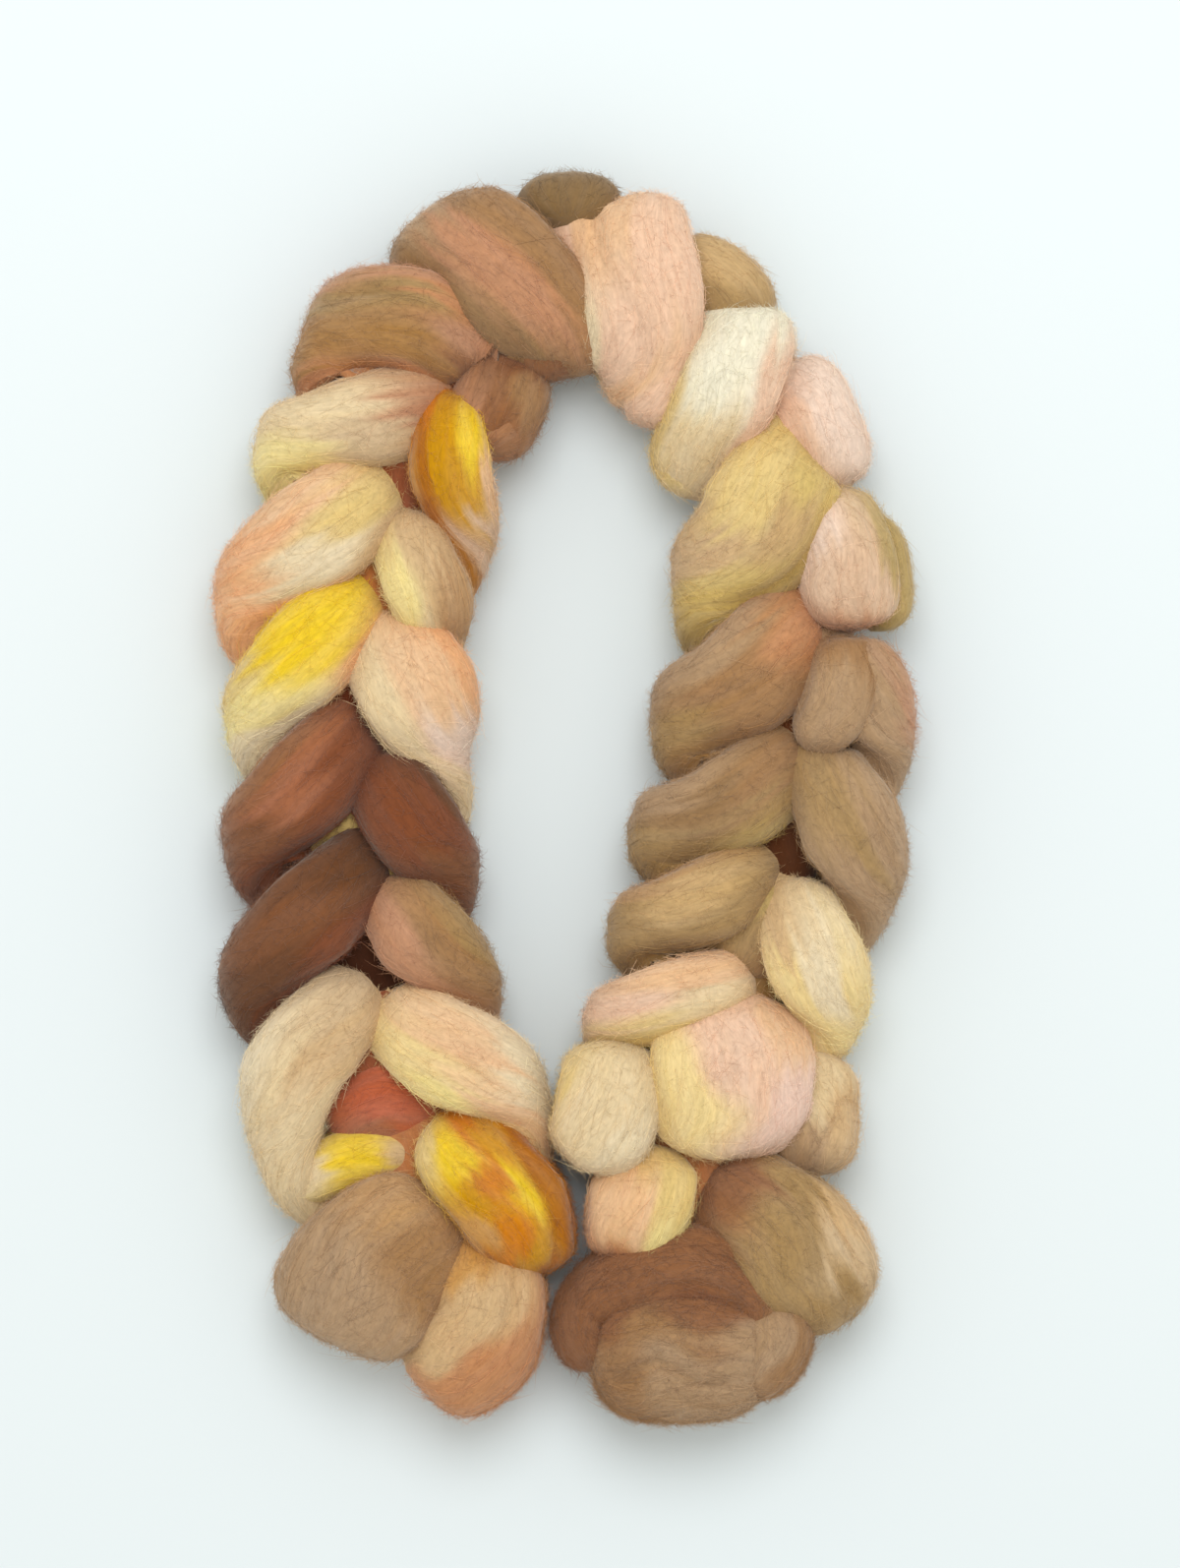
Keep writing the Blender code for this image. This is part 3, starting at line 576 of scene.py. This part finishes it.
changed = {name: [pressed(name, s) for s in pieces[name]] for name in foldNames
           if name not in relief["unpressed"]}
for name, grids in changed.items():
    for s, (grid, share) in zip(pieces[name], grids):
        s["grid"], s["pressed"] = grid, share
        normals = gridNormals(grid)
        s["normals"] = normals * np.sign((normals * s["normals"]).sum())
print("folds pressed")

# Moved in plan, so that the wool's box has its middle where the braid's has, and laid on the table.
everything = np.concatenate([s["grid"].reshape(-1, 3) for strands in pieces.values() for s in strands])
planMiddle = (everything[:, :2].min(axis=0) + everything[:, :2].max(axis=0)) / 2
shift = np.append(np.array((cadLow + cadHigh) / 2)[:2] / mm - planMiddle, 0.0)
for strands in pieces.values():
    for s in strands:
        for key in ("grid", "ends", "centre"):
            s[key] = settle(s[key] + shift)
print("folds shaped:", len(pieces), "pieces, shifted", np.round(shift, 2))

# Which cells hold wool, to tell the folds' open faces from the faces shut in between them.
air = {"cell": 2.0, "margin": 16, "fill": (0.15, 0.97, 9)}     # mm, mm, and shells from centre to surface
low = np.array(cadLow) / mm - air["margin"]
cells = ((np.array(cadHigh) / mm - low + air["margin"]) / air["cell"]).astype(int)
full = np.zeros(cells, bool)


def cellOf(points):
    # Cell numbers of the points: distance from the low corner divided by a cell's size.
    k = np.clip(((points - low) / air["cell"]).astype(int), 0, cells - 1)
    return k[..., 0], k[..., 1], k[..., 2]


for strands in pieces.values():
    for s in strands:
        for share in np.linspace(*air["fill"]):
            full[cellOf(s["centre"][:, None] + share * (s["grid"] - s["centre"][:, None]))] = True


def linear(colour):
    # Daylight colour to light: ((c + 0.055) / 1.055)^2.4, or c / 12.92 near black.
    c = np.asarray(colour, float) / 255
    return np.where(c > 0.04045, ((c + 0.055) / 1.055) ** 2.4, c / 12.92)


dyeSpread = {
    "across": 0.3, "along": 0.24,        # reach of a dye, as shares of a fold
    "soft": 0.08, "fall": 2.2,           # how it falls off, as dyeAt says
    "streaks": ((0.16, (46, 3), 11), (0.1, (15, 3), 12)),      # carried across: how far, cells, seed
    "runs": (0.14, (60, 2), 13),                               # the same along
    "strength": 0.775,                   # the dyes' light, times this
}


def dyeAt(name, strand):
    # Each dye's share falls off with distance as 1 / (distance^2 + soft)^fall, and fibres carry it a
    # little way. The dyes mix in the square roots of their light.
    tau, angle = strand["tau"][:, None], strand["angle"]
    across = np.cos(angle)
    # on a wrapping strand, 0 at the foot and -1 in the head
    along = -np.abs(tau) * relief["wrapStretch"] if strand["kind"] == "wrap" else tau
    share01 = np.broadcast_to((tau + 1) / 2, across.shape)
    across = across - dyeSlant.get(name, 0.0) * along
    carried = sum(far * ringNoise(angle, share01, *lattice, strand["seed"] + seed)
                  for far, lattice, seed in dyeSpread["streaks"])
    across = across + carried
    far, lattice, seed = dyeSpread["runs"]
    along = along + far * ringNoise(angle, share01, *lattice, strand["seed"] + seed)
    total, colour = 0.0, 0.0
    for dye, u, v in dyeing[name]:
        apart = ((across - u) / dyeSpread["across"]) ** 2 + ((along - v) / dyeSpread["along"]) ** 2
        share = (apart + dyeSpread["soft"]) ** -dyeSpread["fall"]
        total = total + share
        colour = colour + share[..., None] * np.sqrt(linear(dyes[dye]))
    return (colour / total[..., None]) ** 2


kinds = {row[0]: row[5] for row in folds}
for number, (name, strands) in enumerate(pieces.items()):
    for s in strands:
        s["kind"], s["seed"] = kinds.get(name, "core"), 31 * number
        # painted shade: the dye is raised to a power that darkens and deepens it, more where the fold is
        # pressed into a crease, and evenly over the hidden core
        hidden = relief["coreShade"] if s["kind"] == "core" else 0.0
        shadePower = 1 + relief["creaseShade"] * s.get("pressed", np.full(s["angle"].shape, hidden)) ** 2
        s["dye"] = dyeSpread["strength"] * dyeAt(name, s) ** shadePower[..., None]
print("dyed")


def setAttribute(mesh, name, kind, key, values):
    # One row of values at each point of the mesh.
    layer = mesh.attributes.new(name, kind, "POINT")
    layer.data.foreach_set(key, values.astype(np.float32).ravel())


def addMesh(name, points, quads, fans, dye, fibre, quadUv=None, fanUv=None):
    # An object from the arrays: the quads' corners, then the triangles', with the dye and the fibre
    # coordinates at each point and, where given, a flat map at each corner.
    mesh = bpy.data.meshes.new(name)
    mesh.vertices.add(len(points))
    mesh.loops.add(4 * len(quads) + 3 * len(fans))
    mesh.polygons.add(len(quads) + len(fans))
    mesh.vertices.foreach_set("co", (points * mm).astype(np.float32).ravel())
    starts = np.concatenate([np.arange(len(quads)) * 4, 4 * len(quads) + np.arange(len(fans)) * 3])
    mesh.polygons.foreach_set("loop_start", starts.astype(np.int32))
    mesh.polygons.foreach_set("vertices", np.concatenate([quads.ravel(), fans.ravel()]).astype(np.int32))
    mesh.update(calc_edges=True)
    mesh.validate()
    mesh.shade_smooth()
    setAttribute(mesh, "dye", "FLOAT_COLOR", "color", np.column_stack([dye, np.ones(len(dye))]))
    setAttribute(mesh, "fibre", "FLOAT_VECTOR", "vector", fibre)
    if quadUv is not None:
        corners = np.concatenate([quadUv.ravel(), fanUv.ravel()])
        mesh.uv_layers.new(name="OFBake").uv.foreach_set("vector", corners.astype(np.float32))
    obj = bpy.data.objects.new(name, mesh)
    bpy.context.scene.collection.objects.link(obj)
    return obj


def joined(parts):
    # Lists of arrays laid end to end; the corner numbers of quads and fans count on from part to part.
    base = 0
    out = [[] for _ in parts[0]]
    for part in parts:
        for place, (store, value) in enumerate(zip(out, part)):
            store.append(value + base if place in (1, 2) else value)
        base += len(part[0])
    return [np.concatenate(store) for store in out]


def triangleCount(objects):
    # A face with n corners makes n - 2 triangles.
    return sum(len(obj.data.loops) - 2 * len(obj.data.polygons) for obj in objects)


def uvs(*corners):
    # Corners given as (u, v), each a number or an array, as one array of faces.
    return np.stack([np.stack(np.broadcast_arrays(u, v), axis=-1) for u, v in corners], axis=-2)


flatMap = {"edge": 0.005, "end": 0.02, "upper": 0.62}      # margins, and the upper strand's share


def tubeFaces(rings, sides):
    # Quads between rings of points that are numbered ring by ring, and a fan of triangles from each end
    # ring to a point, the two numbered after all the rings.
    k = np.arange(sides)
    after = (k + 1) % sides
    ring = (np.arange(rings - 1) * sides)[:, None]
    quads = np.stack([ring + k, ring + after, ring + sides + after, ring + sides + k], axis=-1)
    last, tip = (rings - 1) * sides, np.full(sides, rings * sides)
    fans = np.concatenate([np.stack([after, k, tip], axis=-1),
                           np.stack([last + k, last + after, tip + 1], axis=-1)])
    return quads.reshape(-1, 4), fans


def closedStrand(strand, lowV, highV):
    # A strand's points, faces, dye and fibre coordinates, with a flat map whose u runs round the strand
    # and whose v runs along it, from lowV to highV.
    grid = strand["grid"]
    rings, sides = grid.shape[:2]
    points = np.concatenate([grid.reshape(-1, 3), strand["ends"]])
    dye = np.concatenate([strand["dye"].reshape(-1, 3), strand["dye"][[0, -1], 0]])
    fibre = np.concatenate([strand["fibre"].reshape(-1, 3), strand["fibre"][[0, -1], 0]])
    quads, fans = tubeFaces(rings, sides)
    v = lowV + (highV - lowV) * (flatMap["end"] + (1 - 2 * flatMap["end"]) * (strand["tau"] + 1) / 2)
    u = flatMap["edge"] + (1 - 2 * flatMap["edge"]) * np.arange(sides + 1) / sides
    left, right, near, far = u[:-1], u[1:], v[:-1, None], v[1:, None]
    quadUv = uvs((left, near), (right, near), (right, far), (left, far)).reshape(-1, 4, 2)
    halfway = (left + right) / 2
    fanUv = np.concatenate([uvs((right, v[0]), (left, v[0]), (halfway, lowV)),
                            uvs((left, v[-1]), (right, v[-1]), (halfway, highV))])
    # outward: the faces' normals agree with the strand's own
    a, b, d = points[quads[:, 0]], points[quads[:, 1]], points[quads[:, 3]]
    if (np.cross(b - a, d - a) * strand["normals"].reshape(-1, 3)[quads[:, 0]]).sum() < 0:
        quads, fans, quadUv, fanUv = quads[:, ::-1], fans[:, ::-1], quadUv[:, ::-1], fanUv[:, ::-1]
    return points, quads, fans, dye, fibre, quadUv, fanUv


woolPieces = []
for name, strands in pieces.items():
    upper = flatMap["upper"]
    bands = [(0.0, 1.0)] if len(strands) == 1 else [(0.0, upper), (upper, 1.0)]
    arrays = joined([closedStrand(s, *band) for s, band in zip(strands, bands)])
    woolPieces.append(addMesh("fold_" + name if name in foldNames else name, *arrays))
print("folds meshed:", triangleCount(woolPieces), "triangles")

# Loose fibres, in two kinds: long ones that lie along a fold or leave it and end in the air, and the
# short fuzz that softens every outline.
fly = {
    "long": {
        "perSquareCm": 4.0, "length": (8.0, 26.0), "reach": (1.0, 5.0), "leaving": 0.5, "stray": 0.5,
        "radius": 0.07, "points": 5, "curl": 1.1, "sideways": 1.2,
    },
    "short": {
        "perSquareCm": 14.5, "length": (2.0, 7.0), "reach": (0.9, 3.0), "leaving": 1.0, "stray": 1.2,
        "radius": 0.08, "points": 3, "curl": 0.6, "sideways": 3.0,
    },
    "clear": 2.6,             # a face is open where there is air this far off it, mm
    "offTable": 1.5,          # none start lower than this, mm
    "downward": -0.3,         # slope from which a face counts as turned to the table
    "outline": (0.15, 0.35),  # slope of the faces that draw the outline, and how far round it counts
    "swerve": (0.5, 1.6),     # share of the stray for those that lie along, and for those that leave
    "bend": 0.12,
    "lift": (0.3, 1.1),       # of those that lie along, mm
    "rooted": 0.12,           # depth of their ends in the wool, mm
    "lowest": 0.15,           # height over the table, mm
    "below": 0.15,            # share of the density on faces turned to the table
    "thickness": (0.7, 1.25), "thinning": 0.6,      # shares of the radius, and how much of it is lost
    "paintedLight": (1.1, 1.7),     # painted light: the wool's own dye lightened by this, for the light the loose fibres catch and against the shade they cast
    "more": {"a1": 1.4, "a11": 1.3, "a17": 1.1, "b1": 1.2, "a19": 3.0, "a20": 3.0, "a21": 2.0, "b19": 1.3},
}


def gridAt(table, s, t):
    # The table's value between its rings and sides, straight between the four round it.
    rings, sides = table.shape[:2]
    i = np.clip(s, 0, rings - 1.001)
    i0, j0 = np.floor(i).astype(int), np.floor(t).astype(int)
    fi, fj = (i - i0)[..., None], (t - j0)[..., None]
    j1, j0 = (j0 + 1) % sides, j0 % sides
    return ((table[i0, j0] * (1 - fj) + table[i0, j1] * fj) * (1 - fi)
            + (table[i0 + 1, j0] * (1 - fj) + table[i0 + 1, j1] * fj) * fi)


def openArea(strand, ringStep, sideStep, look):
    # Area of each grid cell that faces open air, mm2: less on the underside, and more on faces that
    # stand sideways, which draw the outline, by 1 + sideways * exp(-(distance in slope / spread)^2).
    grid, upward = strand["grid"], strand["normals"][..., 2]
    isOpen = ~full[cellOf(grid + fly["clear"] * strand["normals"])]
    area = ringStep * sideStep * isOpen * (grid[..., 2] > fly["offTable"])
    area = area * np.where(upward < fly["downward"], fly["below"], 1.0)
    slope, spread = fly["outline"]
    area = area * (1 + look["sideways"] * np.exp(-(((upward - slope) / spread) ** 2)))
    area[:2] = area[-2:] = 0
    return area


def withEnds(rings, line):
    # A tube's values ring by ring, three to a ring, then those at its two end points.
    return np.concatenate([rings.reshape(len(rings), -1, 3), line[:, :1], line[:, -1:]], axis=1)


def tubesAlong(paths, out, radius):
    # Rings of three corners at equal angles round each path, and its two end points.
    tangent = unit(np.gradient(paths, axis=1))[:, 1:-1]
    sideways = unit(np.cross(tangent, out[:, 1:-1]))
    upright = np.cross(sideways, tangent)
    corner = np.arange(3) * 2 * np.pi / 3 + np.pi / 2
    tubes = paths[:, 1:-1, None] + radius[..., None, None] * (
        sideways[:, :, None] * np.cos(corner)[:, None] + upright[:, :, None] * np.sin(corner)[:, None])
    return withEnds(tubes, paths)


def looseFibres(name, strand, kind, seed):
    # Fibres of three-sided section that start at random places on the strand's open faces and run over
    # its grid, at a height of lift * sin(pi * f) where they lie along, or reach * f^1.6 where they leave,
    # f being 0 to 1 from root to tip.
    rng = np.random.default_rng(seed)
    look = fly[kind]
    grid, normals = strand["grid"], strand["normals"]
    rings, sides = grid.shape[:2]
    ringStep = np.linalg.norm(np.gradient(grid, axis=0), axis=2)
    sideStep = np.linalg.norm(np.roll(grid, -1, axis=1) - grid, axis=2)
    area = openArea(strand, ringStep, sideStep, look)
    count = int(area.sum() / 100 * look["perSquareCm"] * fly["more"].get(name, 1.0))
    if count < 4:
        return None
    pick = rng.choice(area.size, count, p=area.ravel() / area.sum())
    i, j = pick // sides + rng.uniform(-0.5, 0.5, count), pick % sides + rng.uniform(0, 1, count)
    length = rng.uniform(*look["length"], count) * rng.choice([-1, 1], count)
    leaves = rng.uniform(size=count) < look["leaving"]
    along = np.linspace(0, 1, look["points"])[None]
    # grid spacing at each root, mm, held up where the rings close to a point
    perRing = np.maximum(gridAt(ringStep[..., None], i, j)[:, 0], 0.3)
    perSide = np.maximum(gridAt(sideStep[..., None], i, j)[:, 0], 0.2)
    lyingTurn, leavingTurn = fly["swerve"]
    turn = rng.normal(0, look["stray"], count) * np.where(leaves, leavingTurn, lyingTurn)
    s = i[:, None] + along * (length * np.cos(turn) / perRing)[:, None]
    bend = rng.normal(0, fly["bend"], count)[:, None] * along * (1 - along)
    t = j[:, None] + (along * np.sin(turn)[:, None] + bend) * (np.abs(length) / perSide)[:, None]
    s = np.clip(s, 1, rings - 2)
    place, out = gridAt(grid, s, t), unit(gridAt(normals, s, t))
    lying = rng.uniform(*fly["lift"], count)[:, None] * np.sin(np.pi * along) - fly["rooted"]
    going = rng.uniform(*look["reach"], count)[:, None] * along ** 1.6 - fly["rooted"] * (1 - along)
    height = np.where(leaves[:, None], going, lying)
    paths = place + out * height[..., None]
    curl = rng.normal(0, look["curl"], (count, 1, 3)) * (along ** 2)[..., None] * leaves[:, None, None]
    paths = paths + curl
    paths[..., 2] = np.maximum(paths[..., 2], fly["lowest"])
    thin = np.where(leaves[:, None], 1 - fly["thinning"] * along, 1.0)[:, 1:-1]
    radius = look["radius"] * rng.uniform(*fly["thickness"], count)[:, None] * thin
    # painted light: each fibre takes its wool's dye, lightened by a random share
    dye = np.clip(gridAt(strand["dye"], s, t) * rng.uniform(*fly["paintedLight"], count)[:, None, None], 0, 1)
    fibre = gridAt(strand["fibre"], s, t)
    return (tubesAlong(paths, out, radius), withEnds(np.repeat(dye[:, 1:-1], 3, axis=1), dye),
            withEnds(np.repeat(fibre[:, 1:-1], 3, axis=1), fibre))


def tubesMesh(tubes):
    # Three-sided tubes closed to a point at both ends, all with the same number of rings.
    count, size = tubes.shape[:2]
    quads, fans = tubeFaces((size - 2) // 3, 3)
    # outward: away from the middle of the first ring
    a, b, tip = (tubes[:, k] for k in fans[0])
    if (np.cross(b - a, tip - a) * (a + b - 2 * tubes[:, :3].mean(axis=1))).sum() < 0:
        quads, fans = quads[:, ::-1], fans[:, ::-1]
    base = (np.arange(count) * size)[:, None, None]
    return tubes.reshape(-1, 3), (quads[None] + base).reshape(-1, 4), (fans[None] + base).reshape(-1, 3)


flyPieces, flyCount = [], 0
for number, name in enumerate(foldNames):
    parts = []
    for k, (s, kind) in enumerate([(s, kind) for s in pieces[name] for kind in ("long", "short")]):
        found = looseFibres(name, s, kind, seeds["fly"] + 10 * number + k)
        if found is not None:
            tubes, dye, fibre = found
            flyCount += len(tubes)
            parts.append((*tubesMesh(tubes), dye.reshape(-1, 3), fibre.reshape(-1, 3)))
    flyPieces.append(addMesh("fly_" + name, *joined(parts)))
print("loose fibres:", flyCount, "in", triangleCount(flyPieces), "triangles")


def nodeGroup(name, inputs, outputs):
    # A shader node group with its inputs as (label, socket type, value) and its outputs as (label, type).
    group = bpy.data.node_groups.new(name, "ShaderNodeTree")
    for label, kind, value in inputs:
        socket = group.interface.new_socket(label, in_out="INPUT", socket_type=kind)
        if value is not None:
            socket.default_value = value
    for label, kind in outputs:
        group.interface.new_socket(label, in_out="OUTPUT", socket_type=kind)
    return group, group.nodes.new("NodeGroupInput"), group.nodes.new("NodeGroupOutput")


# Fibre grain: streaks drawn out along the strand at three sizes, each led a little off its line, as
# shade and as height, with fuzz that has hardly a direction over them.
grainValues = {"Draw": 14.0, "Fineness": 1.5, "Wander": 2.0, "Shade": 0.3, "Fuzz": 0.1, "Mottle": 0.2}
grain, grainIn, grainOut = nodeGroup(
    "fibre grain",
    [("Dye", "NodeSocketColor", None), ("Fibre", "NodeSocketVector", None)]
    + [(label, "NodeSocketFloat", value) for label, value in grainValues.items()],
    [("Colour", "NodeSocketColor"), ("Height", "NodeSocketFloat")])
nodes, links = grain.nodes, grain.links


def mathNode(operation, first, second, kind="Math"):
    # A math node; a number or a tuple is its socket's own value, and anything else is linked to it.
    node = nodes.new("ShaderNode" + kind)
    node.operation = operation
    for socket, value in zip(node.inputs, (first, second)):
        if isinstance(value, (float, tuple)):
            socket.default_value = value
        else:
            links.new(value, socket)
    return node.outputs[0]


def swing(noise, gain):
    # (noise - 0.5) * gain
    return mathNode("MULTIPLY", mathNode("SUBTRACT", noise, 0.5), gain)


def noiseAt(vector, scale, detail, rough):
    # Noise at a vector, its scale a number or a socket.
    noise = nodes.new("ShaderNodeTexNoise")
    noise.inputs["Detail"].default_value = detail
    noise.inputs["Roughness"].default_value = rough
    links.new(vector, noise.inputs["Vector"])
    if isinstance(scale, float):
        noise.inputs["Scale"].default_value = scale
    else:
        links.new(scale, noise.inputs["Scale"])
    return noise


def drawnOut(vector, length):
    # z divided by length, so a pattern is that much longer along the strand than across it
    parts, out = nodes.new("ShaderNodeSeparateXYZ"), nodes.new("ShaderNodeCombineXYZ")
    links.new(vector, parts.inputs[0])
    links.new(parts.outputs["X"], out.inputs["X"])
    links.new(parts.outputs["Y"], out.inputs["Y"])
    links.new(mathNode("DIVIDE", parts.outputs["Z"], length), out.inputs["Z"])
    return out.outputs[0]


fibreAt, drawAt, finenessAt = (grainIn.outputs[label] for label in ("Fibre", "Draw", "Fineness"))
lead = noiseAt(drawnOut(fibreAt, 2.0), 0.11, 1.0, 0.5)      # slow and broad, to lead the streaks astray
offLine = mathNode("SUBTRACT", lead.outputs["Color"], (0.5, 0.5, 0.5), "VectorMath")
wander = nodes.new("ShaderNodeCombineXYZ")
for axis in "XY":
    links.new(grainIn.outputs["Wander"], wander.inputs[axis])
offLine = mathNode("MULTIPLY", offLine, wander.outputs[0], "VectorMath")
ledOne = mathNode("ADD", fibreAt, offLine, "VectorMath")
ledOther = mathNode("SUBTRACT", fibreAt, offLine, "VectorMath")
grainLayers = (         # place, how far drawn out, share of Fineness, detail, roughness
    (ledOne, drawAt, 1.0, 2.0, 0.6),         # single fibres
    (ledOther, drawAt, 0.4, 3.0, 0.6),       # threads of them
    (ledOne, drawAt, 0.09, 2.0, 0.5),        # broad streaks
    (fibreAt, 2.0, 0.5, 4.0, 0.65),          # fuzz
)
fine, strandy, broad, fuzz = (
    noiseAt(drawnOut(place, draw), mathNode("MULTIPLY", finenessAt, share), detail, rough).outputs["Fac"]
    for place, draw, share, detail, rough in grainLayers)
# height: half of each of the two finer streaks, and half the fuzz on top
height = mathNode("ADD", mathNode("MULTIPLY", fine, 0.5), mathNode("MULTIPLY", strandy, 0.5))
links.new(mathNode("ADD", height, mathNode("MULTIPLY", fuzz, 0.5)), grainOut.inputs["Height"])
# shade: 1 + Shade * (height - 0.5) * 2.2 + Fuzz * (fuzz - 0.5) * 2.2
shade = mathNode("ADD", mathNode("MULTIPLY", swing(height, 2.2), grainIn.outputs["Shade"]),
                 mathNode("MULTIPLY", swing(fuzz, 2.2), grainIn.outputs["Fuzz"]))
# mottle: saturation 1 + Mottle * (broad - 0.5) * 2.5
uneven = mathNode("MULTIPLY", swing(broad, 2.5), grainIn.outputs["Mottle"])
tint = nodes.new("ShaderNodeHueSaturation")
links.new(grainIn.outputs["Dye"], tint.inputs["Color"])
links.new(mathNode("ADD", uneven, 1.0), tint.inputs["Saturation"])
links.new(mathNode("ADD", shade, 1.0), tint.inputs["Value"])
links.new(tint.outputs[0], grainOut.inputs["Colour"])


def shaderOf(material, values):
    # The material's Principled shader, with these of its values set.
    material.use_nodes = True
    shader = material.node_tree.nodes["Principled BSDF"]
    for socket, value in values.items():
        shader.inputs[socket].default_value = value
    return shader


def woolMaterial(name, look):
    # The dye at each point, shaded and tinted by the fibre grain, whose height also bumps the surface.
    material = bpy.data.materials.new(name)
    shader = shaderOf(material, look["shader"])
    nodes, links = material.node_tree.nodes, material.node_tree.links
    dye, fibre = nodes.new("ShaderNodeAttribute"), nodes.new("ShaderNodeAttribute")
    dye.attribute_name, fibre.attribute_name = "dye", "fibre"
    group = nodes.new("ShaderNodeGroup")
    group.node_tree = grain
    links.new(dye.outputs["Color"], group.inputs["Dye"])
    links.new(fibre.outputs["Vector"], group.inputs["Fibre"])
    for label in grainValues:
        group.inputs[label].default_value = look[label]
    links.new(group.outputs["Colour"], shader.inputs["Base Color"])
    if look["bump"]:
        bump = nodes.new("ShaderNodeBump")
        bump.inputs["Strength"].default_value = look["bump"]
        bump.inputs["Distance"].default_value = look["bumpDepth"]
        links.new(group.outputs["Height"], bump.inputs["Height"])
        links.new(bump.outputs[0], shader.inputs["Normal"])
    return material


woolLook = {
    "Draw": 14.0, "Fineness": 1.9, "Wander": 7.0, "Shade": 0.28, "Fuzz": 0.26, "Mottle": 0.1,
    "bump": 0.5, "bumpDepth": 0.0005,
    "shader": {"Roughness": 0.95, "Specular IOR Level": 0.08, "Sheen Weight": 0.4, "Sheen Roughness": 0.5,
               "Sheen Tint": (1.0, 0.9, 0.8, 1.0)},
}
flyLook = {
    "Draw": 10.0, "Fineness": 1.0, "Wander": 0.0, "Shade": 0.2, "Fuzz": 0.0, "Mottle": 0.1,
    "bump": 0.0,
    "shader": {"Roughness": 0.9, "Specular IOR Level": 0.2, "Sheen Weight": 0.2, "Sheen Roughness": 0.5},
}
wool, flyWool = woolMaterial("wool top", woolLook), woolMaterial("loose wool fibre", flyLook)
for piece in woolPieces + flyPieces:
    piece.data.materials.append(wool if piece in woolPieces else flyWool)
    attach(piece, "root")
    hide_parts("braid")
print("materials on", len(woolPieces) + len(flyPieces), "pieces")

# Studio: pale table top, a broad soft lamp towards the arch, and the camera straight above.
studio = {
    "tableSize": 14, "tableDrop": 0.0004,      # metres; just under the lowest wool
    "table": {"Base Color": (0.68, 0.745, 0.78, 1), "Roughness": 0.8, "Specular IOR Level": 0.2},
    "world": (1.0, 0.985, 0.92, 1), "worldStrength": 0.9,
    "lampPower": 19.0, "lampSize": 1.3, "lampAt": (0.05, 0.8, 1.75),      # watts, metres
    "cameraAim": (8.05, 3.675),                # mm, before the braid is moved in plan
    "cameraHeight": 2.3, "clip": (0.05, 30),   # metres
    "frameHeight": 557.9, "lensPlane": 24.0,   # mm, as seen at this height over the table
    "sensor": 36.0,
}
bpy.ops.mesh.primitive_plane_add(size=studio["tableSize"], location=(0, 0, -studio["tableDrop"]))
table = bpy.context.object
table.name = "table top"
paper = bpy.data.materials.new("pale table")
shaderOf(paper, studio["table"])
table.data.materials.append(paper)

world = bpy.data.worlds.new("soft room")
bpy.context.scene.world = world
world.use_nodes = True
room = world.node_tree.nodes["Background"]
room.inputs["Color"].default_value = studio["world"]
room.inputs["Strength"].default_value = studio["worldStrength"]

lamp = bpy.data.lights.new("soft lamp", "AREA")
lamp.shape, lamp.size, lamp.energy = "DISK", studio["lampSize"], studio["lampPower"]
lampObject = bpy.data.objects.new("soft lamp", lamp)
lampObject.location = studio["lampAt"]
x, y, z = studio["lampAt"]      # it faces the braid's middle
lampObject.rotation_euler = (math.atan2(math.hypot(x, y), z), 0, math.atan2(-y, -x) - math.pi / 2)
bpy.context.scene.collection.objects.link(lampObject)

camera = bpy.data.cameras.new("camera")
drop = studio["cameraHeight"] / mm - studio["lensPlane"]
camera.sensor_width = studio["sensor"]
camera.lens = studio["sensor"] * drop / studio["frameHeight"]
camera.clip_start, camera.clip_end = studio["clip"]
cameraObject = bpy.data.objects.new("camera", camera)
cameraX, cameraY = (np.array(studio["cameraAim"]) + shift[:2]) * mm
cameraObject.location = (cameraX, cameraY, studio["cameraHeight"])
bpy.context.scene.collection.objects.link(cameraObject)
bpy.context.scene.camera = cameraObject
bpy.context.scene.view_settings.view_transform = "Standard"
print("camera and lamp placed")
